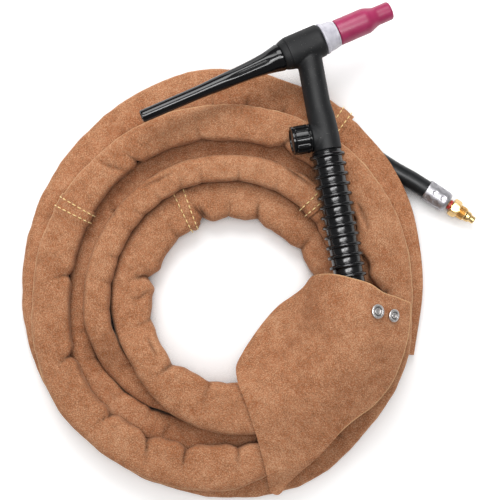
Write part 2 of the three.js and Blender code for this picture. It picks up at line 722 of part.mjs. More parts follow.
// A frame standing on the flap at a snap, with local Y square to the leather.
function snapFrame({ x, y }) {
  const reach = 4;
  const slopeX = (flapHeight(x + reach, y) - flapHeight(x - reach, y)) / (2 * reach);
  const slopeY = (flapHeight(x, y + reach) - flapHeight(x, y - reach)) / (2 * reach);
  const frame = new THREE.Group();
  frame.position.set(x, y, flapHeight(x, y));
  frame.quaternion.setFromUnitVectors(
    new THREE.Vector3(0, 1, 0),
    new THREE.Vector3(-slopeX, -slopeY, 1).normalize(),
  );
  return frame;
}

const flap = new THREE.Group();
const snapFrames = SNAPS.map(({ point }) => snapFrame(point));
const punched = (sheet) =>
  combine([sheet], snapFrames.map((frame) => placed(rod(SNAP_HOLE, -12, 6, 12), frame)));

// The tab that carries the studs lies under the flap, near its mouth.
const TAB_DROP = 5.4;
const TAB_ACROSS = [0.71, 0.97];
const TAB_DOWN = [0.04, 0.3];
flap.add(
  named('sleeve_flap', punched(leatherSheet([0, 1], [0, 1], 12, 14, 0)), SUEDE),
  named('flap_tab', punched(leatherSheet(TAB_ACROSS, TAB_DOWN, 4, 5, TAB_DROP)), SUEDE),
);
SNAPS.forEach(({ radius }, i) => {
  const frame = snapFrames[i];
  const cap = turn([
    [0, -2.8], [1.9, -2.8], [1.9, 0.9], [radius, 0.9], [radius, 1.5], [radius - 0.6, 1.9],
    [radius - 1.7, 1.7], [radius - 2.4, 1.3], [2.2, 1.6], [1.4, 2], [0, 2],
  ]);
  const socket = ring(2.2, 4.3, -4, -2.6);
  const stud = turn([[0, -8.2], [3.6, -8.2], [3.6, -7.5], [1.6, -7.5], [1.6, -3.4], [0, -3.4]]);
  frame.add(
    named(`snap_cap_${i + 1}`, cap, NICKEL),
    named(`snap_socket_${i + 1}`, socket, NICKEL),
    named(`snap_stud_${i + 1}`, stud, NICKEL),
  );
  flap.add(frame);
});

// ---------------------------------------------------------------- the whole object

// The origin is under the middle of the object's box, on the ground.
const object = new THREE.Group();
object.add(torch, cable, fitting, sleeve, flap);
object.updateMatrixWorld(true);
const middle = new THREE.Box3().setFromObject(object, true).getCenter(new THREE.Vector3());
object.position.set(-middle.x, -middle.y, 0);

export default object;
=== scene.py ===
"""Looks of a TIG welding torch with its cable coiled in a suede sleeve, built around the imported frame.

Lengths are millimetres until a mesh is made, and each mesh is in metres.
"""

import json
import math
import random

import bmesh
import bpy
import numpy as np
from mathutils import Matrix, Vector, noise


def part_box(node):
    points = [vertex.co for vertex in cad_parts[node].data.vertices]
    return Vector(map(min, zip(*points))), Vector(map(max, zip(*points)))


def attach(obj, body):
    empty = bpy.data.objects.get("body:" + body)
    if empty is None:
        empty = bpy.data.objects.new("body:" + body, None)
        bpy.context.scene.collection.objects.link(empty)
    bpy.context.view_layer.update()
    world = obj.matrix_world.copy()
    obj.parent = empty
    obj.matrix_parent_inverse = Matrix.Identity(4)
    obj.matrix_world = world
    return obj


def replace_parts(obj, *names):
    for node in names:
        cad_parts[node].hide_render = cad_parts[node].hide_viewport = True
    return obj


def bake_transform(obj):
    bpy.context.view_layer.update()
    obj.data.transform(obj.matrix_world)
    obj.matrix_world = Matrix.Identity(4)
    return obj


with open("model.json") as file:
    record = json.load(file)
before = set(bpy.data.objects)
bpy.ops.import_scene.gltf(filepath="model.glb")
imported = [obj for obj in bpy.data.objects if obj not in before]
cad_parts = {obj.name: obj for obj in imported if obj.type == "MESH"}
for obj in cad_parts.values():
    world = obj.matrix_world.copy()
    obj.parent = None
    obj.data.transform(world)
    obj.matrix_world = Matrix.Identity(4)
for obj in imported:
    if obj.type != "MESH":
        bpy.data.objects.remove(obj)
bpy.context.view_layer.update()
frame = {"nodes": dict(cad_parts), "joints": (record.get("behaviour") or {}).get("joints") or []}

MM = 0.001
TAU = 2 * math.pi
SEED = 7

# ---- places taken from the frame


def joint_line(name):
    """A point on a joint's axis and the axis's direction."""
    found = next(j for j in frame["joints"] if j["name"] == name)
    return Vector(found["pos_m"]) / MM, Vector(found["axis"]).normalized()


def upright(origin, axis, towards):
    """A frame at origin whose Z is the axis and whose X leans towards another direction."""
    z = axis.normalized()
    x = (towards - z * towards.dot(z)).normalized()
    placing = Matrix((x, z.cross(x), z)).transposed().to_4x4()
    placing.translation = origin
    return placing


def cad_points(node):
    mesh = frame["nodes"][node].data
    points = np.zeros(len(mesh.vertices) * 3)
    mesh.vertices.foreach_get("co", points)
    return points.reshape(-1, 3) / MM


def reach(node, placing):
    """A CAD node's lowest and highest place along a frame's Z and its largest radius about it."""
    local = (cad_points(node) - np.array(placing.translation)) @ np.array(placing.to_3x3())
    radii = np.hypot(local[:, 0], local[:, 1])
    return local[:, 2].min(), local[:, 2].max(), radii.max()


def disc_frame(node):
    """A frame on a CAD disc's own axis, with Z up."""
    points = np.unique(np.round(cad_points(node), 3), axis=0)
    middle = points.mean(axis=0)
    _, directions = np.linalg.eigh(np.cov((points - middle).T))
    axis = Vector(directions[:, 0])
    return upright(Vector(middle), axis if axis.z > 0 else -axis, Vector((1, 0, 0)))


torch_point, nozzle_axis = joint_line("nozzle_turn")
valve_point, knob_axis = joint_line("knob_turn")
fitting_point, fitting_axis = joint_line("nut_swivel")
torch_side = -knob_axis
torch_up = (nozzle_axis - torch_side * nozzle_axis.dot(torch_side)).normalized()

HEAD = upright(torch_point, nozzle_axis, torch_up)
HANDLE = upright(torch_point, -torch_up, torch_side)
VALVE = upright(valve_point, knob_axis, torch_up)
FITTING = upright(fitting_point, fitting_axis, Vector((0, 0, 1)))


def welded(node):
    """A CAD node's shared corners and the triangles between them."""
    mesh = frame["nodes"][node].data
    mesh.calc_loop_triangles()
    corners = np.zeros(len(mesh.loop_triangles) * 3, dtype=int)
    mesh.loop_triangles.foreach_get("vertices", corners)
    points, index = np.unique(np.round(cad_points(node), 3), axis=0, return_inverse=True)
    return points, index.ravel()[corners].reshape(-1, 3)


def spread_over(first, allowed, neighbours):
    """Every corner joined to the first ones through allowed corners."""
    found, layer = set(), set(first)
    while layer:
        found |= layer
        layer = (set().union(*(neighbours[corner] for corner in layer)) & allowed) - found
    return found


def units(vectors):
    """Each vector at length 1."""
    return vectors / np.linalg.norm(vectors, axis=-1, keepdims=True)


def spans(vectors):
    """Each vector's length."""
    return np.linalg.norm(vectors, axis=-1)


def face_normals(points, triangles):
    """Each triangle's unit normal and its centre."""
    a, b, c = (points[triangles[:, k]] for k in range(3))
    return units(np.cross(b - a, c - a)), (a + b + c) / 3


def end_ring(points, triangles, neighbours, near):
    """The corners of a CAD tube's flat upright end nearest to a point."""
    fewest, flush_gap, upright_limit = 8, 0.1, 0.1
    best, best_gap = None, np.inf
    for corners, normal, centre in zip(triangles, *face_normals(points, triangles)):
        gap = spans(centre - np.array(near))
        if abs(normal[2]) > upright_limit or gap > best_gap:
            continue
        flush = set(np.flatnonzero(np.abs((points - centre) @ normal) < flush_gap))
        ring = spread_over(corners, flush, neighbours)
        if len(ring) >= fewest:
            best, best_gap = ring, gap
    return best


def stations(node, near):
    """The cross-sections of a CAD tube in order: centre x, y, z, half width, half height."""
    points, triangles = welded(node)
    neighbours = {}
    for corners in triangles:
        for corner in corners:
            neighbours.setdefault(corner, set()).update(corners)
    layer = end_ring(points, triangles, neighbours, near)
    seen = set()
    rows = []
    while layer:
        seen |= layer
        ring = points[sorted(layer)]
        middle = ring.mean(axis=0)
        across = np.hypot(*(ring - middle)[:, :2].T).max()
        rows.append([*middle, across, np.abs(ring[:, 2] - middle[2]).max()])
        layer = set().union(*(neighbours[corner] for corner in layer)) - seen
    return np.array(rows)


# ---- curves and noise


def smooth_curve(knots, values):
    """A function through the knots that doesn't overshoot them."""
    steps = np.diff(knots)
    slopes = np.diff(values, axis=0) / steps[:, None]
    before, after = slopes[:-1], slopes[1:]
    total = np.where(before + after == 0, 1, before + after)
    inner = np.where(before * after > 0, 2 * before * after / total, 0)
    tangents = np.vstack([slopes[:1], inner, slopes[-1:]])

    def read(at):
        i = np.clip(np.searchsorted(knots, at) - 1, 0, len(steps) - 1)
        span = steps[i][:, None]
        u = (at - knots[i])[:, None] / span
        a, b = values[i], values[i + 1]
        m, n = tangents[i] * span, tangents[i + 1] * span
        return a + m * u + (3 * (b - a) - 2 * m - n) * u**2 + (2 * (a - b) + m + n) * u**3

    return read


def lengths_along(points):
    """Each point's distance from the first, along the line through them."""
    return np.concatenate([[0], np.cumsum(spans(np.diff(points, axis=0)))])


def along_line(points, step):
    """Points every step along a smooth line through other points."""
    points = np.asarray(points, float)
    lengths = lengths_along(points)
    count = max(2, int(lengths[-1] / step) + 1)
    return smooth_curve(lengths, points)(np.linspace(0, lengths[-1], count))


def ripple(points, scale, offset):
    """Smooth noise between about -1 and 1 at each point, with features of this size."""
    shift = Vector((offset, offset * 0.7, -offset))
    flat = np.asarray(points).reshape(-1, 3)
    values = [noise.noise(Vector(p) / scale + shift) for p in flat]
    return np.array(values).reshape(np.asarray(points).shape[:-1])


def rise(value, start, end):
    """0 before start, 1 after end and smooth between them."""
    t = np.clip((value - start) / (end - start), 0, 1)
    return t * t * (3 - 2 * t)


def plateau(value, rise_start, rise_end, fall_start, fall_end):
    """1 between the rise and the fall, and 0 outside them."""
    return rise(value, rise_start, rise_end) * (1 - rise(value, fall_start, fall_end))


def bell(value, width):
    """1 at zero, fading away over this width."""
    return np.exp(-((value / width) ** 2))


def signed_power(value, power):
    return np.sign(value) * np.abs(value) ** power


def round_angles(count):
    """Even angles once round."""
    return np.arange(count) / count * TAU


# ---- meshes


def grid_faces(rows, columns, closed_rows=False):
    """Quads between rows of points that each run round in a ring."""
    faces = []
    for row in range(rows if closed_rows else rows - 1):
        here, there = row * columns, (row + 1) % rows * columns
        for i in range(columns):
            j = (i + 1) % columns
            faces.append((here + i, here + j, there + j, there + i))
    return faces


def linked(name, data):
    """A new object in the scene."""
    made = bpy.data.objects.new(name, data)
    bpy.context.scene.collection.objects.link(made)
    return made


def make_piece(name, points, faces, material, body="root", sharp=35):
    """A welded mesh with its faces out, smooth except at edges sharper than this many degrees."""
    mesh = bpy.data.meshes.new(name)
    mesh.from_pydata((np.asarray(points, float) * MM).tolist(), [], faces)
    work = bmesh.new()
    work.from_mesh(mesh)
    bmesh.ops.remove_doubles(work, verts=work.verts, dist=1e-6)
    bmesh.ops.recalc_face_normals(work, faces=work.faces)
    work.to_mesh(mesh)
    work.free()
    mesh.shade_smooth()
    mesh.set_sharp_from_angle(angle=math.radians(sharp))
    piece = linked(name, mesh)
    mesh.materials.append(material)
    if body:
        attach(piece, body)
    return piece


def soften(profile, radius, steps=3, closed=False):
    """Rounds the corners of a profile."""
    rounded = []
    for i, point in enumerate(profile):
        here = Vector(point)
        if not closed and i in (0, len(profile) - 1):
            rounded.append(tuple(here))
            continue
        before = Vector(profile[i - 1]) - here
        after = Vector(profile[(i + 1) % len(profile)]) - here
        cut = min(radius, before.length * 0.45, after.length * 0.45)
        start = here + before.normalized() * cut
        end = here + after.normalized() * cut
        for k in range(steps + 1):
            t = k / steps
            rounded.append(tuple(start * (1 - t) ** 2 + here * 2 * t * (1 - t) + end * t**2))
    return rounded


def turned_points(placing, profile, sides, shape):
    """Rings of points about a frame's Z. shape(angle, radius, height) may change a radius."""
    points = []
    for radius, height in profile:
        for i in range(sides):
            angle = TAU * i / sides
            r = shape(angle, radius, height) if shape else radius
            points.append(placing @ Vector((r * math.cos(angle), r * math.sin(angle), height)))
    return points


def turned(name, placing, profile, material, body, sides=72, closed=False, shape=None):
    """A turned piece; its profile runs from axis to axis, or closes on itself."""
    points = turned_points(placing, profile, sides, shape)
    return make_piece(name, points, grid_faces(len(profile), sides, closed), material, body)


def rebuild(node, name, *shape, **more):
    """A turned piece that stands for a CAD node."""
    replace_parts(turned(name, *shape, **more), node)


def rod(radius, low, high):
    """A plain cylinder's profile."""
    return [(0, low), (radius, low), (radius, high), (0, high)]


def ring_profile(inner, outer, low, high, radius=0.3):
    """A plain ring's profile with rounded edges."""
    return soften([(inner, low), (outer, low), (outer, high), (inner, high)], radius, closed=True)


def configured(made, settings):
    """Sets an object's properties by name."""
    for key, value in settings.items():
        setattr(made, key, value)
    return made


def modify(piece, name, kind, **settings):
    """Adds a modifier to a piece."""
    configured(piece.modifiers.new(name, kind), settings)


def baked(piece):
    """Applies a piece's modifiers."""
    graph = bpy.context.evaluated_depsgraph_get()
    mesh = bpy.data.meshes.new_from_object(piece.evaluated_get(graph))
    piece.modifiers.clear()
    piece.data = mesh
    return piece


# ---- materials


def colour(red, green, blue):
    """An sRGB colour of 0 to 255 as Blender's linear one."""
    channels = [c / 255 for c in (red, green, blue)]
    linear = [c / 12.92 if c < 0.04045 else ((c + 0.055) / 1.055) ** 2.4 for c in channels]
    return (*linear, 1.0)


class Finish:
    """A procedural material, whose textures use object coordinates in metres."""

    def __init__(self, name, roughness, metallic=0.0):
        self.material = bpy.data.materials.new(name)
        self.material.use_nodes = True
        self.tree = self.material.node_tree
        self.shader = self.tree.nodes["Principled BSDF"]
        self.set("Roughness", roughness)
        self.set("Metallic", metallic)
        self.coordinates = self.node("ShaderNodeTexCoord").outputs["Object"]

    def node(self, kind, **settings):
        return configured(self.tree.nodes.new(kind), settings)

    def feed(self, socket, value):
        if isinstance(value, bpy.types.NodeSocket):
            self.tree.links.new(value, socket)
        else:
            socket.default_value = value

    def set(self, name, value):
        self.feed(self.shader.inputs[name], value)

    def fill(self, made, values):
        for name, value in values.items():
            self.feed(made.inputs[name], value)
        return made.outputs

    def noise(self, scale, detail, roughness):
        inputs = {"Vector": self.coordinates, "Scale": scale, "Detail": detail, "Roughness": roughness}
        return self.fill(self.node("ShaderNodeTexNoise"), inputs)["Fac"]

    def maths(self, operation, a, b):
        return self.fill(self.node("ShaderNodeMath", operation=operation), {0: a, 1: b})[0]

    def spread(self, value, low, high, to_low=0.0, to_high=1.0):
        inputs = {"Value": value, "From Min": low, "From Max": high, "To Min": to_low, "To Max": to_high}
        return self.fill(self.node("ShaderNodeMapRange"), inputs)["Result"]

    def ramp(self, value, *stops):
        made = self.node("ShaderNodeValToRGB")
        elements = made.color_ramp.elements
        for _ in range(len(stops) - 2):
            elements.new(0.5)
        for element, (position, tint) in zip(elements, stops):
            element.position = position
            element.color = tint
        self.feed(made.inputs["Fac"], value)
        return made.outputs["Color"]

    def mix(self, share, a, b):
        return self.fill(self.node("ShaderNodeMix", data_type="RGBA"), {0: share, 6: a, 7: b})[2]

    def attribute(self, name):
        return self.node("ShaderNodeAttribute", attribute_name=name).outputs["Fac"]

    def bump(self, height, depth, strength, under=None):
        inputs = {"Strength": strength, "Distance": depth * MM, "Height": height}
        if under is not None:
            inputs["Normal"] = under
        normal = self.fill(self.node("ShaderNodeBump"), inputs)["Normal"]
        self.set("Normal", normal)
        return normal

    def edge_on(self):
        return self.node("ShaderNodeLayerWeight").outputs["Facing"]

    def hollow_shade(self, reach_mm):
        made = self.node("ShaderNodeAmbientOcclusion", samples=6)
        return self.fill(made, {"Distance": reach_mm * MM})["AO"]


def suede(name, dark, middle, light, shaded=0.85):
    """Napped leather: fine speckle over soft blotches, paler from rubbing with a painted highlight there, and
    painted shade in creases and hollows.
    """
    f = Finish(name, 0.95)
    speckle = f.noise(1250, 2, 0.7)
    blotch = f.noise(120, 3, 0.6)
    cloud = f.noise(22, 3, 0.5)
    tone = f.maths("ADD", f.maths("MULTIPLY", speckle, 0.62), f.maths("MULTIPLY", blotch, 0.22))
    tone = f.maths("ADD", tone, f.maths("MULTIPLY", cloud, 0.16))
    skin = f.ramp(tone, (0.4, dark), (0.5, middle), (0.6, light))
    warm = f.mix(f.spread(f.noise(620, 2, 0.6), 0.42, 0.62, 0, 0.42), skin, colour(172, 94, 50))
    # Paler nap from rubbing, and a painted highlight along the same folds and edges.
    rubbed_and_highlit = f.maths("MULTIPLY", f.attribute("wear_and_highlight"), 0.85)
    skin = f.mix(rubbed_and_highlit, warm, colour(236, 196, 146))
    # Painted shade: the colour goes dark brown along creases, folds and lap edges.
    skin = f.mix(f.maths("MULTIPLY", f.attribute("crease_shade"), 0.8), skin, colour(56, 30, 18))
    # Painted shade: the colour darkens towards deep brown where ambient occlusion finds hollows and gaps
    # between the strands.
    occluded = f.spread(f.hollow_shade(6), 0.08, 0.58, shaded, 0.0)
    skin = f.mix(occluded, skin, colour(52, 27, 16))
    f.set("Base Color", skin)
    f.set("Specular IOR Level", 0.15)
    f.set("Sheen Weight", 0.2)
    f.set("Sheen Roughness", 0.45)
    f.set("Sheen Tint", colour(240, 205, 170))
    under = f.bump(blotch, 0.5, 0.45)
    f.bump(speckle, 0.22, 0.55, under)
    return f.material


def moulded(name, base, roughness, grain, grain_scale=900, dust=0.0, shine=0.5):
    """Moulded rubber or plastic with a fine grain and slightly uneven gloss."""
    f = Finish(name, roughness)
    f.set("Specular IOR Level", shine)
    patch = f.noise(45, 3, 0.6)
    fine = f.noise(grain_scale, 2, 0.6)
    paler = tuple(min(1, c * 1.9 + 0.004) for c in base[:3]) + (1.0,)
    tint = f.mix(f.spread(patch, 0.35, 0.7, 0, 0.45), base, paler)
    if dust:
        specks = f.spread(f.noise(1500, 2, 0.5), 0.71, 0.78, 0, dust)
        tint = f.mix(specks, tint, colour(190, 184, 176))
    f.set("Base Color", tint)
    f.set("Roughness", f.spread(patch, 0.3, 0.7, roughness * 0.85, roughness * 1.2))
    f.bump(fine, grain, 0.4)
    return f.material


def metal(name, base, roughness, stain):
    """Machined metal with fine marks and faint staining."""
    f = Finish(name, roughness, 1.0)
    patch = f.noise(160, 3, 0.6)
    f.set("Base Color", f.mix(f.spread(patch, 0.45, 0.7, 0, 0.4), base, stain))
    marks = f.noise(2200, 2, 0.7)
    f.set("Roughness", f.spread(marks, 0.3, 0.7, roughness * 0.7, roughness * 1.4))
    f.bump(marks, 0.02, 0.25)
    return f.material


def pressed_nickel():
    """Dull plated steel with painted shade in the grooves of its pressed rings."""
    f = Finish("nickel", 0.42, 1.0)
    # Painted shade: the colour goes dark where ambient occlusion finds the pressed grooves.
    groove = f.spread(f.hollow_shade(1.6), 0.35, 0.9, 0.9, 0.0)
    f.set("Base Color", f.mix(groove, colour(214, 210, 208), colour(52, 44, 40)))
    f.bump(f.noise(2200, 2, 0.7), 0.02, 0.1)
    return f.material


def fired_ceramic():
    """Dyed alumina: an even, faintly mottled body, with painted shade that makes it darker red towards the
    edges it turns from view.
    """
    f = Finish("alumina", 0.42)
    mottle = f.noise(140, 2, 0.4)
    body = f.ramp(mottle, (0.3, colour(158, 28, 80)), (0.7, colour(170, 38, 92)))
    # Painted shade: darker crimson where the surface turns edge-on to the view.
    f.set("Base Color", f.mix(f.spread(f.edge_on(), 0.45, 1.0, 0, 0.8), body, colour(140, 18, 52)))
    f.set("Coat Weight", 0.15)
    f.set("Coat Roughness", 0.3)
    f.bump(f.noise(1600, 2, 0.5), 0.03, 0.4)
    return f.material


def cup_plastic():
    """Milky insulating plastic."""
    f = Finish("ptfe", 0.4)
    cloud = f.noise(200, 2, 0.5)
    f.set("Base Color", f.ramp(cloud, (0.3, colour(184, 182, 192)), (0.7, colour(208, 206, 214))))
    f.set("Subsurface Weight", 0.35)
    f.set("Subsurface Radius", (0.004, 0.004, 0.004))
    f.set("Subsurface Scale", 1.0)
    f.bump(f.noise(900, 2, 0.5), 0.03, 0.3)
    return f.material


def twisted_thread():
    """Waxed sewing thread with a fine twist."""
    f = Finish("thread", 0.6)
    twist = f.noise(2600, 1, 0.5)
    f.set("Base Color", f.ramp(twist, (0.3, colour(244, 204, 124)), (0.7, colour(255, 238, 176))))
    f.set("Sheen Weight", 0.3)
    f.bump(twist, 0.08, 0.5)
    return f.material


SUEDE = suede("suede", colour(132, 86, 58), colour(176, 126, 92), colour(206, 158, 122))
FLESH = suede("suede_inside", colour(96, 62, 42), colour(126, 84, 58), colour(160, 112, 80), 0.3)
CUT_EDGE = suede("suede_edge", colour(176, 122, 86), colour(206, 152, 110), colour(232, 186, 142), 0.2)
HEAD_RUBBER = moulded("head_rubber", colour(16, 17, 19), 0.56, 0.18, 800, 0.6, 0.3)
GLOSS_BLACK = moulded("gloss_black", colour(8, 8, 10), 0.13, 0.006, shine=0.4)
HOSE_RUBBER = moulded("hose_rubber", colour(20, 22, 24), 0.4, 0.04, 400, 0.25, 0.3)
KNOB_FACE = moulded("knob_face", colour(74, 64, 56), 0.45, 0.03)
BRASS = metal("brass", colour(230, 198, 140), 0.36, colour(200, 156, 98))
COPPER = metal("copper", colour(190, 120, 84), 0.35, colour(140, 80, 50))
ALUMINIUM = metal("aluminium", colour(180, 178, 182), 0.46, colour(140, 138, 144))
NICKEL = pressed_nickel()
GRIP_BLACK = moulded("grip_black", colour(8, 8, 10), 0.2, 0.006, shine=0.55)
TUNGSTEN = metal("tungsten", colour(150, 150, 156), 0.35, colour(110, 112, 118))
ALUMINA = fired_ceramic()
PTFE = cup_plastic()
SEAL_RED = moulded("seal_red", colour(176, 44, 36), 0.45, 0.03)
THREAD = twisted_thread()

# ---- head, neck and valve housing

BARREL_REAR, BARREL_FRONT, BARREL_RADIUS = -22.7, 12.8, 13.3  # along the nozzle's axis, then about it
BOSS_RADIUS, BOSS_TOP = 10.4, 10.1
SPIGOT_RADIUS = 9
CORE_ROOM = 7.3  # the bore round the metal core


def neck_points():
    """The moulded neck: it swells and shifts towards one side at the valve."""
    sides = 64
    end = reach("handle_grip", HANDLE)[0] - 0.3
    knots = np.array([0, 46, 58, 70, end])
    values = np.array([[0, 10.1], [0, 10.1], [0.8, 10.8], [1.2, 11.1], [1.3, 11.2]])
    depths = np.linspace(0, end, 40)
    swell = zip(smooth_curve(knots, values)(depths), depths)
    rings = [(0.001, 0.0, 0.0), *((r, x, depth) for (x, r), depth in swell)]
    rings += [(10.6, 1.3, end + 0.1), (0.001, 1.3, end + 0.1)]
    points = []
    for radius, shift, depth in rings:
        for i in range(sides):
            angle = TAU * i / sides
            local = Vector((shift + radius * math.cos(angle), radius * math.sin(angle), depth))
            points.append(HANDLE @ local)
    return points, grid_faces(len(rings), sides)


def head_blanks():
    """The barrel, the boss, the spigot in the handle and the neck, which the moulding joins."""
    barrel = soften([
        (0, BARREL_REAR), (10.4, BARREL_REAR), (11.4, BARREL_REAR + 0.9), (12.4, BARREL_REAR + 4.2),
        (BARREL_RADIUS, BARREL_REAR + 7.4), (BARREL_RADIUS, BARREL_FRONT - 1.2), (12.4, BARREL_FRONT),
        (0, BARREL_FRONT),
    ], 1.2, 4)
    boss = soften(rod(BOSS_RADIUS, 0, BOSS_TOP), 0.4)
    spigot = rod(SPIGOT_RADIUS, reach("handle_grip", HANDLE)[0] - 2, reach("head_body", HANDLE)[1])
    return [
        turned("barrel_blank", HEAD, barrel, HEAD_RUBBER, None, 96),
        turned("boss_blank", VALVE, boss, HEAD_RUBBER, None, 72),
        turned("spigot_blank", HANDLE, spigot, HEAD_RUBBER, None, 48),
        make_piece("neck_blank", *neck_points(), HEAD_RUBBER, None),
    ]


def head_tools():
    """The bores through the moulding, and the line cut round its rear collar."""
    end = reach("head_body", HANDLE)[1]
    line = BARREL_REAR + 5.8
    groove = [(12.1, line), (14.5, line - 0.7), (14.5, line + 0.7)]
    bores = [
        ("head_bore", HEAD, rod(CORE_ROOM, BARREL_REAR - 1, BARREL_FRONT + 1)),
        ("stem_bore", VALVE, rod(6.9, 0, 12)),
        ("neck_bore", HANDLE, rod(CORE_ROOM, 61.7, end + 1)),
        ("core_bore", HANDLE, rod(5.2, 2, 63)),
    ]
    tools = [turned(*bore, HEAD_RUBBER, None, 48) for bore in bores]
    return [*tools, turned("collar_line", HEAD, groove, HEAD_RUBBER, None, 96, True)]


def head_body():
    """One rubber moulding: barrel, neck and boss run into each other with soft fillets."""
    work = bmesh.new()
    for piece in head_blanks():
        work.from_mesh(piece.data)
        bpy.data.objects.remove(piece)
    mesh = bpy.data.meshes.new("moulded_head")
    work.to_mesh(mesh)
    work.free()
    mesh.materials.append(HEAD_RUBBER)
    head = linked("moulded_head", mesh)
    modify(head, "moulding", "REMESH", mode="VOXEL", voxel_size=0.6 * MM)
    modify(head, "fillets", "SMOOTH", factor=0.5, iterations=14)
    tools = head_tools()
    for tool in tools:
        modify(head, tool.name, "BOOLEAN", operation="DIFFERENCE", solver="EXACT", object=tool)
    baked(head)
    for tool in tools:
        bpy.data.objects.remove(tool)
    head.data.shade_smooth()
    head.data.set_sharp_from_angle(angle=math.radians(40))
    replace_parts(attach(head, "root"), "head_body")


head_body()

# ---- nozzle end


def gasket():
    """The white ring behind the nozzle: a wide rim, then a step down and a shallow waist."""
    low, high, radius = reach("cup_gasket", HEAD)
    profile = soften([
        (6, low), (radius - 0.4, low), (radius, low + 0.8), (radius - 0.1, low + 2.2),
        (radius - 0.8, low + 2.9), (11.2, high - 3.4), (10.8, high - 2.4), (10.9, high - 1.4),
        (10.6, high - 0.2), (6, high),
    ], 0.5, closed=True)
    rebuild("cup_gasket", "white_gasket", HEAD, profile, PTFE, "cup_gasket_ring", 96, True)


def nozzle():
    """The ceramic cup: a straight shank, an S-shaped taper and a rounded mouth."""
    low, high, radius = reach("gas_nozzle", HEAD)
    mouth = 7.5
    taper_start, taper_end = low + 24.3, low + 35.6
    outside = [(9.9, low), (radius, low + 0.7)]
    for t in np.linspace(0, 1, 15):
        width = radius + (mouth - radius) * float(rise(t, 0, 1))
        outside.append((width, taper_start + (taper_end - taper_start) * float(t)))
    tip = [(mouth, high - 1.4), (6.9, high - 0.2), (6.3, high), (5.6, high - 0.5), (5.4, high - 1.8)]
    inside = [(5.4, low + 32), (6.5, low + 26), (6.5, low + 10), (6, low + 9), (6, low)]
    profile = soften([*outside, *tip, *inside], 0.5, closed=True)
    rebuild("gas_nozzle", "ceramic_nozzle", HEAD, profile, ALUMINA, "nozzle", 96, True)


def collet_set():
    """The collet body, its collet and the ground electrode, which the nozzle mostly hides."""
    low, high, radius = reach("collet_body", HEAD)
    body = soften([
        (2.3, low), (4.3, low), (4.3, 13.1), (radius, 13.1), (radius, high - 12), (3.9, high - 11.4),
        (3.9, high - 0.5), (3.4, high), (2.3, high),
    ], 0.3, closed=True)
    rebuild("collet_body", "brass_collet_body", HEAD, body, BRASS, "root", 48, True)
    low, high, radius = reach("collet", HEAD)
    rebuild("collet", "copper_collet", HEAD, ring_profile(1.1, radius, low, high), COPPER, "root", 32, True)
    low, high, radius = reach("tungsten_electrode", HEAD)
    ground_rod = soften([(0, low), (radius, low), (radius, high - 5.6), (0.18, high - 0.1), (0, high)], 0.15)
    rebuild("tungsten_electrode", "tungsten_rod", HEAD, ground_rod, TUNGSTEN, "electrode", 24)


def back_cap():
    """The long cap: a slim tail that flares to a wide collar with shallow flutes."""
    tip, _, radius = reach("back_cap", HEAD)
    start, length, bore_floor = -23.0, 118.5, tip + 2.6
    flutes, depth = 8, 0.4

    def fluted(angle, r, height):
        inside = r < 4.6 or height > start - 4
        fade = float(plateau(height, start - 52, start - 34, start - 14, start - 7))
        return r if inside else r - depth * fade * (0.5 + 0.5 * math.cos(angle * flutes))

    outline = smooth_curve(
        np.array([0.7, 48, 64, 93, 106, 113, length]),
        np.array([[5.0], [5.2], [5.9], [7.3], [8.6], [9.8], [11.0]]),
    )
    lengths = np.linspace(0.9, length, 60)
    side = [(float(r[0]), tip + float(d)) for d, r in zip(lengths, outline(lengths))]
    end = [
        (0, bore_floor), (3.0, bore_floor), (3.3, tip + 2.2), (3.7, tip + 0.3), (4.2, tip), (4.8, tip + 0.25),
    ]
    mouth = soften([
        (10.95, start - 0.7), (radius, start), (4.2, start), (4.2, -11), (1.6, -11), (1.6, start - 4),
        (2.2, start - 8), (2.2, tip + 4), (0, tip + 4),
    ], 0.3)
    profile = [*end, *side, *mouth]
    rebuild("back_cap", "long_back_cap", HEAD, profile, GLOSS_BLACK, "cap", 96, shape=fluted)


gasket()
nozzle()
collet_set()
back_cap()

# ---- valve knob and grip


def knob():
    """A fluted knob with a thin flange, a raised rim and a dished face."""
    low, high, radius = reach("valve_knob", VALVE)
    flutes, depth = 12, 0.9

    def fluted(angle, r, height):
        drum = float(plateau(height, low + 1.8, low + 3.2, high - 3.4, high - 2.2))
        groove = max(0.0, math.cos(angle * flutes)) ** 1.5
        return r - depth * drum * groove if r > 9.5 else r

    drum = [(radius - 0.1, low + 2.2 + (high - low - 5.2) * i / 10) for i in range(11)]
    recess = 20.2
    profile = soften([
        (0, recess), (5, recess), (5, low), (radius - 0.3, low), (radius - 0.2, low + 1.3),
        (radius - 1.0, low + 1.7), *drum, (radius - 0.9, high - 2.5), (radius - 0.2, high - 1.9),
        (radius - 0.3, high - 0.3),
        (radius - 1.2, high), (9.3, high), (8.9, high - 0.5), (8.8, high - 2.3), (0, high - 2.3),
    ], 0.35)
    rebuild("valve_knob", "fluted_knob", VALVE, profile, GLOSS_BLACK, "knob", 144, shape=fluted)
    low, high, radius = reach("knob_disc", VALVE)
    face = high - 0.25
    disc = soften([(0, low), (radius, low), (radius, high), (radius - 1.2, face), (0, face)], 0.3)
    rebuild("knob_disc", "knob_end_disc", VALVE, disc, KNOB_FACE, "knob")


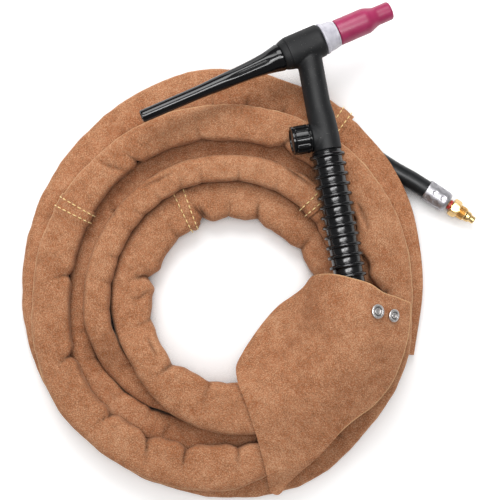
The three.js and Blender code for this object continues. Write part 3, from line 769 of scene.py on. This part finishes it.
def grip():
    """The handle grip: a smooth core with a rounded ring every 8 mm."""
    low, high, outer = reach("handle_grip", HANDLE)
    outer += 0.4
    core, bore, pitch, first, count = 11.8, 9.4, 8.0, 4.2, 14
    half, foot = 1.75, core + 0.08  # half a ring's width, and the radius where it meets the core
    base = core + 0.15
    side = [(core - 0.6, low), (core - 0.1, low + 0.4)]
    for ring in range(count):
        middle = low + first + ring * pitch
        side += [(core, middle - half - 1.1), (foot, middle - half - 0.25)]
        for k in range(-4, 5):
            angle = k / 4 * math.pi / 2
            swell = max(0.0, math.cos(angle)) ** 0.8
            side.append((base + (outer - base) * swell, middle + half * math.sin(angle)))
        side += [(foot, middle + half + 0.25), (core, middle + half + 1.1)]
    profile = [*side, (core, high - 0.4), (core - 0.4, high), (bore, high), (bore, low)]
    rebuild("handle_grip", "ribbed_grip", HANDLE, profile, GRIP_BLACK, "root", 80, True)


knob()
grip()

# ---- machine fitting


def crimp_ferrule():
    """A grey sleeve pressed onto the hose, with rings of round dents."""
    low, high, radius = reach("crimp_ferrule", FITTING)
    dents_round, dent_rows, dent_radius, dent_depth = 4, (3.9, 7.7, 11.5, 15.3), 2.4, 0.5
    first_dent = math.radians(42)
    bore = 7.95

    def dented(angle, r, height):
        if r < radius - 0.1:
            return r
        depth = 0.0
        for row, place in enumerate(dent_rows):
            turn = (angle - first_dent) * dents_round / TAU + 0.5 * (row % 2)
            across = (turn - round(turn)) * TAU * radius / dents_round
            near = (across**2 + (height - low - place) ** 2) / dent_radius**2
            depth = max(depth, 1 - float(rise(near, 0.45, 1.1)))
        return r - dent_depth * depth

    shell = [(radius, low + 1.6 + (high - low - 4.6) * i / 44) for i in range(45)]
    profile = [
        (bore, low), (radius - 0.3, low), (radius - 0.08, low + 0.4), *shell, (radius - 0.3, high - 2.0),
        (7.7, high - 0.3), (7.3, high), (5.5, high), (5.5, high - 4.2), (bore, high - 4.2),
    ]
    rebuild("crimp_ferrule", "dimpled_ferrule", FITTING, profile, ALUMINIUM, "root", 144, True, dented)


def swivel_nut():
    """A hexagonal nut with chamfered corners, run into a thread."""
    low, high, corner = reach("swivel_nut", FITTING)
    flats_end, crest, root = low + 6.5, 5.75, 5.15
    apothem = corner * math.cos(math.pi / 6)

    def hexagonal(angle, r, height):
        if height > flats_end + 0.1 or r < apothem - 0.6:
            return r
        turn = (angle + math.pi / 6) % (math.pi / 3) - math.pi / 6
        return min(apothem / math.cos(turn), r)

    thread = []
    turns, samples = 6, 6
    count = turns * samples
    start, end = flats_end + 0.7, high - 0.9
    for i in range(count + 1):
        wave = 0.5 - 0.5 * math.cos(TAU * i / samples)
        thread.append((root + (crest - root) * wave**0.7, start + (end - start) * i / count))
    bore, chamfer = 3.2, 1.3
    profile = [
        (bore, low), (apothem, low), (apothem + 0.3, low + 0.2), (corner, low + chamfer),
        (corner, flats_end - chamfer), (apothem + 0.3, flats_end - 0.2), (apothem, flats_end),
        (root, flats_end + 0.2), *thread, (root, high - 0.6), (4.9, high), (bore, high),
    ]
    rebuild("swivel_nut", "threaded_nut", FITTING, profile, BRASS, "nut", 96, True, hexagonal)


def nose():
    """The brass tube through the nut, its rounded end, and the red seal behind the nut."""
    low, high, radius = reach("hose_barb", FITTING)
    profile = soften([
        (1.5, low), (3.4, low), (3.4, 16.8), (radius, 17), (radius, 21.2), (2.9, 21.4), (2.9, 38.6),
        (4.3, 39), (4.3, 41.5), (3.7, 42.6), (3.1, 42.8), (3.1, high - 0.6), (2.6, high), (1.5, high),
    ], 0.3, closed=True)
    rebuild("hose_barb", "brass_nose", FITTING, profile, BRASS, "root", 64, True)
    low, high, radius = reach("seal_ring", FITTING)
    seal = ring_profile(3.2, radius, low, high, 0.7)
    rebuild("seal_ring", "red_seal", FITTING, seal, SEAL_RED, "root", 64, True)


crimp_ferrule()
swivel_nut()
nose()

# ---- cable


def swept(name, centres, radii, sides, material):
    """A hollow tube of an outer and an inner radius along a line."""
    along = units(np.gradient(centres, axis=0))
    across = units(np.cross(along, [0, 0, 1]))
    upward = np.cross(across, along)
    angles = round_angles(sides)[None, :, None]
    ring = np.cos(angles) * across[:, None] + np.sin(angles) * upward[:, None]
    outer, inner = (centres[:, None] + ring * radius for radius in radii)
    rows = np.concatenate([outer, inner[::-1]])
    return make_piece(name, rows.reshape(-1, 3), grid_faces(len(rows), sides, True), material)


# ---- suede sleeve

handle_end = HANDLE @ Vector((0, 0, reach("handle_grip", HANDLE)[1]))
SLEEVES = ["sleeve_section_1", "sleeve_section_2", "sleeve_section_3", "sleeve_section_4"]
LEATHER = 1.3
LAP = 12.0  # how far one length of sleeve reaches over the next
LAP_LIFT = 1.35  # how far its end stands out over the length below
ALONG_STEP = 1.6
AROUND = 44
SLEEVE_START = 12.0  # degrees travelled when the sleeve starts
GROUND = 0.25  # the lowest height of any leather
HOSE_ROOM = 8.5  # the least distance from the cable's middle to the outside of the leather
FULLNESS = 0.8  # how far the soft sleeve swells past the CAD's half width

low_corner, high_corner = (np.array(corner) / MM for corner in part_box("sleeve_section_2"))
COIL_CENTRE = ((low_corner + high_corner) / 2)[:2]


def round_coil(radius, heading, height):
    """Points about the coil's centre."""
    x = COIL_CENTRE[0] + radius * np.cos(heading)
    y = COIL_CENTRE[1] + radius * np.sin(heading)
    return np.stack(np.broadcast_arrays(x, y, height), axis=-1)


def travel_of(points, start):
    """Degrees travelled clockwise round the coil's centre, counted on from start."""
    offset = points[:, :2] - COIL_CENTRE
    angles = -np.degrees(np.unwrap(np.arctan2(offset[:, 1], offset[:, 0])))
    return angles - angles[0] + start


def read_sleeves():
    """The sleeve's cross-sections by travel, and the travel at which each length ends."""
    rows, ends = [], []
    near = handle_end
    for node in SLEEVES:
        found = stations(node, near)
        near = found[-1, :3]
        rows.append(found)
        ends.append(sum(len(r) for r in rows) - 1)
    table = np.concatenate(rows)
    travel = travel_of(table, SLEEVE_START)
    keep = np.concatenate([[True], np.diff(travel) > 1.0])
    radius = np.hypot(*(table[:, :2] - COIL_CENTRE).T)
    values = np.column_stack([radius, table[:, 2:]])
    return smooth_curve(travel[keep], values[keep]), travel[ends]


sleeve_at, seam_travel = read_sleeves()


def cable():
    """The hose and its conductor follow the handle, the middle of the sleeve and the way out."""
    hose_start = HANDLE @ Vector((0, 0, 109))
    rows = stations("cable_hose", hose_start)[:, :3]
    in_handle, way_out = rows[:2], rows[-5:]
    travel = np.arange(SLEEVE_START, seam_travel[-1], 3.0)
    radius, height = sleeve_at(travel).T[:2]
    in_sleeve = round_coil(radius, np.radians(-travel), height)
    line = along_line(np.vstack([in_handle, in_sleeve, way_out]), 5.0)
    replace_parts(swept("rubber_hose", line, (7.2, 4.7), 18, HOSE_RUBBER), "cable_hose")
    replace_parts(swept("stranded_copper", line[3:-3], (3.7, 0.4), 10, COPPER), "copper_conductor")


cable()

# Pinches in the gathered inner edge of the innermost turn, then of the broad top turn: degrees
# anticlockwise from +X, depth, and reach along the edge. A depth below 0 makes a bulge.
INNER_PINCHES = [
    (6, 3.0, 9), (27, 3.5, 7), (63, 4.0, 8), (84, 2.0, 6), (104, 6.0, 7), (129, 1.6, 9),
    (171, 7.0, 8), (203, 2.6, 7), (236, 4.5, 9), (262, 2.4, 9),
]
BROAD_PINCHES = [
    (-60, 2.5, 9), (-20, 2.5, 9), (-2, 12.0, 11), (17, -7.5, 16), (41, 3.6, 7), (66, 4.4, 7),
    (97, 1.6, 7), (123, 3.6, 4), (175, 3.4, 6), (204, 5.4, 5), (229, 4.6, 5), (245, 5.4, 7),
    (259, 5.4, 7), (277, 3.5, 7),
]
# Folds across the leather's top: each end's degrees anticlockwise and radius, then the depth.
TOP_FOLDS = [
    (32, 131, 22, 129, 2.0), (133, 137, 129, 121, 1.5), (142, 110, 145, 102, 2.6),
    (250, 118, 249, 130, 1.8), (190, 72, 182, 56, 1.4), (215, 69, 227, 73, 1.4), (104, 67, 100, 57, 2.0),
    (126, 101, 112, 99, 1.4), (62, 111, 48, 111, 1.6), (300, 148, 285, 141, 1.4), (160, 152, 148, 145, 1.1),
]


def pinch_list():
    """Every pinch as travel, depth and reach; the plain turns get small random ones."""
    random.seed(SEED)
    innermost, broad, end = 360, 1440, 1735  # travel at +X on those turns, and near the sleeve's end
    pinches = [(innermost - angle, depth, size) for angle, depth, size in INNER_PINCHES]
    pinches += [(broad - angle, depth, size) for angle, depth, size in BROAD_PINCHES]
    travel = innermost + 60.0
    while travel < end:
        if not 1100 < travel < 1470:
            outermost = 1.7 if travel > 1480 else 1.0
            pinches.append((travel, outermost * random.uniform(0.8, 2.4), random.uniform(4.5, 8)))
        travel += random.uniform(9, 20)
    return pinches


PINCHES = pinch_list()


def gathered(travel, radius, inward, wander):
    """How deep the leather is pinched and how much painted shade its creases get; inward runs from 0 to 1 at
    the inner edge.
    """
    depth, crease_shade = np.zeros_like(wander), np.zeros_like(wander)
    for place, deepest, size in PINCHES:
        away = np.radians(travel - place) * radius
        rows = np.abs(away[:, 0]) < size * 4 + 12
        slant = 9 * math.sin(place * 1.7) * (1 - inward[rows])
        gap = np.abs(away[rows] + slant + wander[rows] * 2.2) / size
        fold = np.exp(-gap) - 0.25 * np.exp(-((gap - 1.4) ** 2) * 2)
        depth[rows] += deepest * fold
        sharp = min(1.0, max(0.0, deepest) / 5) * np.exp(-((gap * 4.5) ** 2))
        crease_shade[rows] = np.maximum(crease_shade[rows], sharp)
    return depth * rise(inward, 0.3, 0.95), crease_shade * rise(inward, 0.35, 0.8)


def folded(points, upper):
    """How far the leather's top sinks into its folds, and how much painted shade lies along them."""
    sunk, crease_shade = np.zeros_like(upper), np.zeros_like(upper)
    offset = points[..., :2] - COIL_CENTRE
    for first_turn, first_radius, last_turn, last_radius, depth in TOP_FOLDS:
        turns = np.radians([first_turn, last_turn])
        ends = np.column_stack([np.cos(turns), np.sin(turns)]) * [[first_radius], [last_radius]]
        run = ends[1] - ends[0]
        share = np.clip((offset - ends[0]) @ run / run.dot(run), 0, 1)
        gap = spans(offset - ends[0] - share[..., None] * run)
        fade = np.sin(math.pi * (0.12 + 0.76 * share)) * upper
        sunk += depth * fade * (bell(gap, 1.9) - 0.3 * bell(gap - 4.2, 2.2))
        crease_shade = np.maximum(crease_shade, fade * min(1, depth / 2) * bell(gap, 1.1))
    return sunk, crease_shade


def rubbed_and_highlit_edge(travel, angle, ripple_value):
    """Where the broad turn's outer fold is pale from rubbing, with a painted highlight along it."""
    on_broad = plateau(travel, 1110, 1150, 1440, 1470)
    share = 0.25 + 0.75 * on_broad
    line = bell(np.degrees(angle) - 9, 11)
    return share * line * np.clip(0.8 + 0.7 * ripple_value, 0, 1)


def section_outline(angle, half_width, half_height):
    """A soft flattened section: sharp at its outer fold (angle 0), full at its inner edge."""
    c, s = np.cos(angle), np.sin(angle)
    outer = c > 0
    wide = np.where(outer, 3.4, 4.2)
    tall = np.where(outer, 3.2, 3.9)
    x = (half_width + FULLNESS) * signed_power(c, 2 / wide)
    z = half_height * signed_power(s, 2 / tall)
    return x, z


def strand_placer(travel, radius, height):
    """A function that sets a section's x and z across the strand, at each travel."""
    slope = np.gradient(radius[:, 0], np.radians(travel[:, 0]))[:, None] / radius
    tilt = np.arctan(slope)

    def place(x, z):
        heading = np.radians(-travel) + x * np.sin(tilt) / radius
        return round_coil(radius + x * np.cos(tilt), heading, height + z)

    return place


def pushed_out(x, z, by, flatter=1.0):
    """A section's points moved away from its middle."""
    size = np.maximum(np.hypot(x, z), 0.1)
    return x + x / size * by, z + z / size * by * flatter


def sleeve_grid(start, end):
    """Points of one length of sleeve, a ring at a time, with how pale from rubbing and painted highlight each
    one is, and its painted shade in creases.
    """
    middle = sleeve_at(np.array([(start + end) / 2]))[0, 0]
    count = int(math.radians(end - start) * middle / ALONG_STEP)
    travel = np.linspace(start, end, count)[:, None]
    angle = round_angles(AROUND)[None, :]
    radius, height, half_width, half_height = (v[:, None] for v in sleeve_at(travel[:, 0]).T)
    place = strand_placer(travel, radius, height)
    x, z = section_outline(angle, half_width, half_height)
    plain = place(x, z)
    wander = ripple(plain, 22, 3.1)
    inward = (1 - x / half_width) / 2
    depth, crease_shade = gathered(travel, radius, inward, wander)
    room = np.clip((half_width - 7.4) / 5, 0.25, 1)
    x = x + depth * room * rise(inward, 0.5, 1.0)
    z = z * (1 - 0.045 * np.clip(depth, -1, 9) * rise(inward, 0.2, 0.7))
    loose = 0.9 + 0.7 * rise(travel, 1470, 1500)
    x, z = pushed_out(x, z, loose * wander + 0.45 * ripple(plain, 8, 9.7), 0.8)
    push = np.maximum(1, HOSE_ROOM / np.hypot(x, z))
    before_end = np.radians(end - travel) * middle
    lift = LAP_LIFT * (1 - rise(before_end, LAP - 2.5, LAP + 1.5))
    points = place(*pushed_out(x * push, z * push, lift))
    sunk, lines = folded(points, rise(np.sin(angle), 0.2, 0.6) * np.ones_like(travel))
    points[..., 2] = np.maximum(points[..., 2] - sunk, GROUND)
    from_start = np.radians(travel - start) * middle
    lap_shadow = 0.6 * bell(from_start - LAP - 0.7, 0.8) * (start > SLEEVE_START)
    crease_shade = np.maximum(np.maximum(crease_shade, lines), lap_shadow)
    return points, {"wear_and_highlight": rubbed_and_highlit_edge(travel, angle, ripple(plain, 14, 5.0)), "crease_shade": crease_shade}


def thicken(piece, marks):
    """Gives a sheet its leather thickness, flesh side and cut edge, and the marks the suede reads."""
    for name, values in marks.items():
        layer = piece.data.attributes.new(name, "FLOAT", "POINT")
        layer.data.foreach_set("value", np.asarray(values, np.float32).ravel())
    piece.data.materials.append(FLESH)
    piece.data.materials.append(CUT_EDGE)
    flesh_side, rim = 1, 2
    modify(piece, "thickness", "SOLIDIFY", thickness=LEATHER * MM, offset=-1, material_offset=flesh_side,
           material_offset_rim=rim)
    baked(piece)
    piece.data.set_sharp_from_angle(angle=math.radians(60))
    return piece


def stitched_rows(name, end, middle):
    """Two rows of stitches round the sleeve, just before the travel where a length ends."""
    rows_before_end = (3.0, 10.2)
    stitch, gap, thick, step = 3.8, 0.9, 0.55, 0.3
    points, faces = [], []
    for before in rows_before_end:
        ring = seam_ring(end - math.degrees(before / middle))
        line = along_line(np.vstack([ring, ring[:1]]), step)
        for k in range(int(len(line) * step / (stitch + gap))):
            first = int(k * (stitch + gap) / step)
            run = line[first:first + int(stitch / step)]
            if len(run) >= 6:
                add_stitch(run, ring.mean(axis=0), thick, points, faces)
    return make_piece(name, points, faces, THREAD)


def seam_ring(travel):
    """Points round the outside of a lap at this travel."""
    radius, height, half_width, half_height = sleeve_at(np.array([travel]))[0]
    angle = round_angles(96)
    x, z = pushed_out(*section_outline(angle, half_width, half_height), LAP_LIFT + 0.1)
    return round_coil(radius + x, math.radians(-travel), np.maximum(height + z, 0.3))


def add_stitch(run, middle, thick, points, faces):
    """One raised stitch: a bead of thread whose ends dip into the leather."""
    sides, count = 6, 6
    picks = np.linspace(0, len(run) - 1, count).astype(int)
    along = run[-1] - run[0]
    along = units(along)
    out = run[len(run) // 2] - middle
    out -= along * out.dot(along)
    out = units(out)
    across = np.cross(along, out)
    base = len(points)
    for k, pick in enumerate(picks):
        bulge = math.sin(math.pi * (k + 0.35) / (count - 0.3))
        centre = run[pick] + out * (thick * 0.9 * bulge - 0.15)
        for i in range(sides):
            angle = TAU * i / sides
            spoke = out * math.cos(angle) + across * math.sin(angle)
            points.append(centre + spoke * thick * max(0.35, bulge))
    faces.extend(tuple(base + v for v in face) for face in grid_faces(count, sides))
    faces.append(tuple(range(base, base + sides)))
    last = base + (count - 1) * sides
    faces.append(tuple(range(last, last + sides)))


def sleeves():
    """The four lengths, each sewn over the start of the next."""
    start = SLEEVE_START
    for number, (node, end) in enumerate(zip(SLEEVES, seam_travel), 1):
        middle = sleeve_at(np.array([end]))[0, 0]
        points, marks = sleeve_grid(start, end)
        faces = grid_faces(*points.shape[:2])
        tube = make_piece(f"suede_length_{number}", points.reshape(-1, 3), faces, SUEDE, None, 60)
        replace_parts(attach(thicken(tube, marks), "root"), node)
        stitched_rows(f"seam_stitches_{number}", end, middle)
        start = end - math.degrees(LAP / middle)


sleeves()


def tail_line():
    """The empty end's middle, half width and half height, from inside the last length to the mouth."""
    radius = sleeve_at(seam_travel[-1:])[0, 0]
    heading = math.radians(-seam_travel[-1]) + np.array([9.0, 2.0]) / radius
    tucked = np.column_stack([round_coil(radius, heading, 17.2), [15.5, 15.5], [0.9, 0.9]])
    rows = stations("sleeve_tail", tucked[-1][:3])
    line = np.vstack([tucked, rows])
    lengths = lengths_along(line[:, :3])
    read = smooth_curve(lengths, line)(np.linspace(0, lengths[-1], int(lengths[-1] / ALONG_STEP)))
    return read[:, :3], read[:, 3], read[:, 4]


def tail():
    """The sleeve's empty end: pressed flat, then opening a little at its cut mouth."""
    middle, half_width, half_height = tail_line()
    along = np.gradient(middle, axis=0)
    along[:, 2] = 0
    along = units(along)
    side = np.column_stack([along[:, 1], -along[:, 0], np.zeros(len(along))])
    away = middle[:, :2] - COIL_CENTRE
    side *= np.sign(np.sum(side[:, :2] * away, axis=1))[:, None]
    angle = round_angles(AROUND)
    c, s = np.cos(angle), np.sin(angle)

    def loops(inset):
        x = (half_width - inset)[:, None] * signed_power(c, 0.8)
        z = np.maximum(half_height - inset, 0.12)[:, None] * signed_power(s, 0.9)
        made = middle[:, None] + side[:, None] * x[..., None]
        made[..., 2] += z
        return made

    outer, inner = loops(0), loops(LEATHER)
    wave = ripple(outer, 20, 1.3) * 0.9 + ripple(outer, 7, 4.4) * 0.25
    outer[..., 2] += wave
    inner[..., 2] += wave
    pocket = int(len(middle) * 0.35)
    rows = np.concatenate([outer, inner[-pocket:][::-1]])
    rows[..., 2] = np.maximum(rows[..., 2], GROUND)
    last = (len(rows) - 1) * AROUND
    faces = grid_faces(len(rows), AROUND) + [tuple(range(AROUND)), tuple(range(last, last + AROUND))]
    piece = make_piece("suede_tail", rows.reshape(-1, 3), faces, SUEDE, "root", 50)
    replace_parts(piece, "sleeve_tail")


tail()

# ---- flap and snaps


def upper_side(node):
    """A CAD sheet's upper points, and its outline as an ordered loop."""
    points, triangles = welded(node)
    normals, _ = face_normals(points, triangles)
    upward = triangles[normals[:, 2] > 0.3]
    edges = dict.fromkeys((corners[k], corners[(k + 1) % 3]) for corners in upward for k in range(3))
    following = {one: other for one, other in edges if (other, one) not in edges}
    loops = []
    while following:
        first, here = following.popitem()
        loop = [first]
        while here != first:
            loop.append(here)
            here = following.pop(here)
        loops.append(loop)
    outline = max(loops, key=len)
    return points[np.unique(upward)], points[outline]


def thin_plate(places, heights):
    """A smooth height function through scattered points."""

    def kernel(gap):
        return gap**2 * np.log(gap + 1e-9)

    gaps = spans(places[:, None] - places[None])
    flat = np.column_stack([np.ones(len(places)), places])
    size = len(places)
    system = np.zeros((size + 3, size + 3))
    system[:size, :size] = kernel(gaps)
    system[:size, size:] = flat
    system[size:, :size] = flat.T
    weights = np.linalg.solve(system, np.concatenate([heights, np.zeros(3)]))

    def read(at):
        gaps = spans(at[:, None] - places[None])
        return kernel(gaps) @ weights[:size] + weights[size] + at @ weights[size + 1:]

    return read


INNER_REST, OUTER_REST = 82, 152  # the radii between which the coil holds the flap up
SAG = 7.0  # how far the flap hangs past them


def sheet_rim(outline, spacing, rounding, pull):
    """A sheet's edge at even steps, rounded a little and drawn out near one place."""
    rim = along_line(np.vstack([outline, outline[:1]])[:, :2], spacing)[:-1]
    for _ in range(rounding):
        rim = (np.roll(rim, 1, axis=0) + 2 * rim + np.roll(rim, -1, axis=0)) / 4
    return rim + pull[1] * bell(spans(rim - pull[0]), 8)[:, None]


def rim_shares(reach_out, spacing):
    """How far from a sheet's middle each loop of points lies: even steps, then closer ones at the edge."""
    inner = np.linspace(0.02, 1, int(reach_out / spacing))
    shares = np.concatenate([inner[:-1], [1 - 1.2 / reach_out, 1 - 0.6 / reach_out, 1.0]])
    return np.unique(np.round(shares, 5))


def leather_sheet(name, node, spacing, wrinkle, rounding, pull=((0, 0), np.zeros(2))):
    """A fine sheet over a CAD sheet's outline and height; pull draws its edge out near a place."""
    points, outline = upper_side(node)
    holes = [np.array(disc_frame(f"snap_cap_{k}").translation)[:2] for k in (1, 2)]
    clear = np.all([spans(points[:, :2] - hole) > 4 for hole in holes], axis=0)
    height = thin_plate(points[clear][:, :2], points[clear][:, 2])
    rim = sheet_rim(outline, spacing, rounding, pull)
    middle = rim.mean(axis=0)
    from_middle = spans(rim - middle)
    shares = rim_shares(from_middle.mean(), spacing)
    flat = middle + (rim[None] - middle) * shares[:, None, None]
    z = height(flat.reshape(-1, 2)).reshape(flat.shape[:2])
    grid = np.dstack([flat, z])
    edge_gap = (1 - shares)[:, None] * from_middle[None]
    snap_gap = np.min([spans(flat - hole) for hole in holes], axis=0)
    calm = rise(snap_gap, 6, 16)
    grid[..., 2] += wrinkle * calm * (ripple(grid, 34, 2.0) + 0.35 * ripple(grid, 11, 6.0))
    grid[..., 2] -= 0.35 * bell(edge_gap, 1.6)
    from_centre = spans(flat - COIL_CENTRE)
    grid[..., 2] -= SAG * (rise(INNER_REST - from_centre, 0, 16) + rise(from_centre - OUTER_REST, 0, 16))
    faces = grid_faces(len(shares), len(rim)) + [tuple(range(len(rim)))]
    outward = np.arctan2(rim[:, 1] - middle[1], rim[:, 0] - middle[0])
    handled_and_highlit = rise(np.cos(outward - math.radians(10)), 0.0, 0.35)[None]
    # Paler nap from rubbing plus a painted highlight along the edge that faces about 10 degrees.
    wear_and_highlight = bell(edge_gap, 0.6) * 0.8 * handled_and_highlit
    piece = make_piece(name, grid.reshape(-1, 3), faces, SUEDE, None, 60)
    return thicken(piece, {"wear_and_highlight": wear_and_highlight})


def flap():
    """The flap, which hangs down past the coil's inner edge and is drawn out at one corner."""
    corner = (np.array([52.0, -22.7]), np.array([-2.4, 3.0]))
    piece = leather_sheet("suede_flap", "sleeve_flap", 2.0, 0.9, 1, corner)
    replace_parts(piece, "sleeve_flap")
    hinge_point, hinge_axis = joint_line("flap_fold")
    across = hinge_axis.cross(Vector((0, 0, 1))).normalized()
    low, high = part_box("sleeve_flap")
    if across.dot(Vector(low + high) / 2 / MM - hinge_point) < 0:
        across.negate()
    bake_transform(piece)


flap()
tab = leather_sheet("suede_tab", "flap_tab", 1.5, 0.3, 2)
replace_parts(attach(tab, "root"), "flap_tab")


def snap(number):
    """A pressed snap: a ringed cap on the flap, its socket below, and the stud on the tab."""
    node = f"snap_cap_{number}"
    placing = disc_frame(node)
    low, high, radius = reach(node, placing)
    cap = soften([
        (0, low), (1.9, low), (1.9, high - 1.3), (radius - 0.4, high - 1.25), (radius, high - 0.75),
        (radius - 0.3, high - 0.2), (radius - 1.0, high), (radius - 1.9, high - 0.15),
        (radius - 2.1, high - 1.0), (radius - 2.8, high - 1.0), (radius - 3.0, high - 0.2),
        (radius - 3.6, high - 0.2), (radius - 3.8, high - 0.9), (0, high - 0.95),
    ], 0.22, 4)
    rebuild(node, f"snap_cap_ringed_{number}", placing, cap, NICKEL, "flap", 64)
    node = f"snap_socket_{number}"
    low, high, radius = reach(node, placing)
    socket = ring_profile(2.2, radius, low, high, 0.4)
    rebuild(node, f"snap_socket_ring_{number}", placing, socket, NICKEL, "flap", 48, True)
    node = f"snap_stud_{number}"
    low, high, radius = reach(node, placing)
    stud = soften([
        (0, low), (radius, low), (radius, low + 0.7), (1.5, low + 0.9), (1.35, high - 1.2), (1.6, high - 0.6),
        (1.2, high), (0, high),
    ], 0.3)
    rebuild(node, f"snap_stud_post_{number}", placing, stud, NICKEL, "root", 48)


snap(1)
snap(2)

# ---- CAD pieces that stay

STAYS = {
    "torch_core": COPPER, "back_cap_o_ring": HOSE_RUBBER, "valve_body": BRASS, "valve_stem": BRASS,
    "valve_o_ring": HOSE_RUBBER, "valve_packing_nut": BRASS, "knob_insert": BRASS, "cable_stud": BRASS,
    "cable_nut": BRASS, "cable_ferrule": ALUMINIUM,
}
for node, material in STAYS.items():
    kept = frame["nodes"][node]
    kept.data.materials.clear()
    kept.data.materials.append(material)

# ---- stage


def floor():
    """A pale floor: it glows where it is open, and painted shade makes it dark in tight gaps under the coil.
    """
    half, depth = 3.0, -0.0006
    mesh = bpy.data.meshes.new("floor")
    corners = [(-half, -half, depth), (half, -half, depth), (half, half, depth), (-half, half, depth)]
    mesh.from_pydata(corners, [], [(0, 1, 2, 3)])
    ground = linked("floor", mesh)
    f = Finish("pale_floor", 0.9)
    openness = f.hollow_shade(60)
    # Painted shade: the floor's colour and glow drop towards black where ambient occlusion finds tight gaps.
    f.set("Base Color", f.mix(f.spread(openness, 0.12, 0.34), (0.01, 0.009, 0.009, 1), (0.86, 0.86, 0.86, 1)))
    f.set("Emission Color", (1, 1, 1, 1))
    open_share = f.spread(openness, 0.35, 0.8)
    away = f.node("ShaderNodeVectorMath", operation="LENGTH")
    f.feed(away.inputs[0], f.coordinates)
    glow = f.spread(away.outputs["Value"], 0.35, 1.6, 0.42, 0.68)
    f.set("Emission Strength", f.maths("MULTIPLY", open_share, glow))
    mesh.materials.append(f.material)


def area_light(name, place, target, size, power):
    """A rectangular lamp turned towards a target."""
    light = bpy.data.lights.new(name, "AREA")
    configured(light, {"shape": "RECTANGLE", "size": size[0], "size_y": size[1], "energy": power})
    lamp = linked(name, light)
    lamp.location = place
    lamp.rotation_euler = (Vector(target) - Vector(place)).to_track_quat("-Z", "Y").to_euler()
    return lamp


def sky():
    """Even white light that glossy surfaces see as a darker room."""
    world = bpy.data.worlds.new("room")
    bpy.context.scene.world = world
    world.use_nodes = True
    nodes, links = world.node_tree.nodes, world.node_tree.links
    background = nodes["Background"]
    path = nodes.new("ShaderNodeLightPath")
    level = nodes.new("ShaderNodeMapRange")
    level.inputs["To Min"].default_value = 0.4
    level.inputs["To Max"].default_value = 0.2
    links.new(path.outputs["Is Glossy Ray"], level.inputs["Value"])
    seen = nodes.new("ShaderNodeMath")
    seen.operation = "MAXIMUM"
    links.new(path.outputs["Is Camera Ray"], seen.inputs[0])
    links.new(level.outputs["Result"], seen.inputs[1])
    links.new(seen.outputs[0], background.inputs["Strength"])
    background.inputs["Color"].default_value = (1, 1, 1, 1)


def camera():
    """Looks straight down on the middle of the object, with the coil's plane filling the frame."""
    lens = bpy.data.cameras.new("camera")
    lens.sensor_width = 36
    lens.lens = 104.85
    view = linked("camera", lens)
    view.location = (0.0004, 0.0013, 1.2)
    bpy.context.scene.camera = view


floor()
ABOVE_TORCH, UNDER_TORCH = (0.06, 0.05, 1.7), (0.06, 0.05, 0)
area_light("overhead", ABOVE_TORCH, UNDER_TORCH, (0.42, 0.62), 7)
area_light("key", (-0.15, 1.15, 1.35), (0, 0, 0), (0.9, 0.9), 20)
panel = area_light("gloss_panel", ABOVE_TORCH, UNDER_TORCH, (1.5, 0.32), 25)  # only glossy surfaces see it
panel.visible_diffuse = False
sky()
camera()
bpy.context.scene.view_settings.view_transform = "Standard"
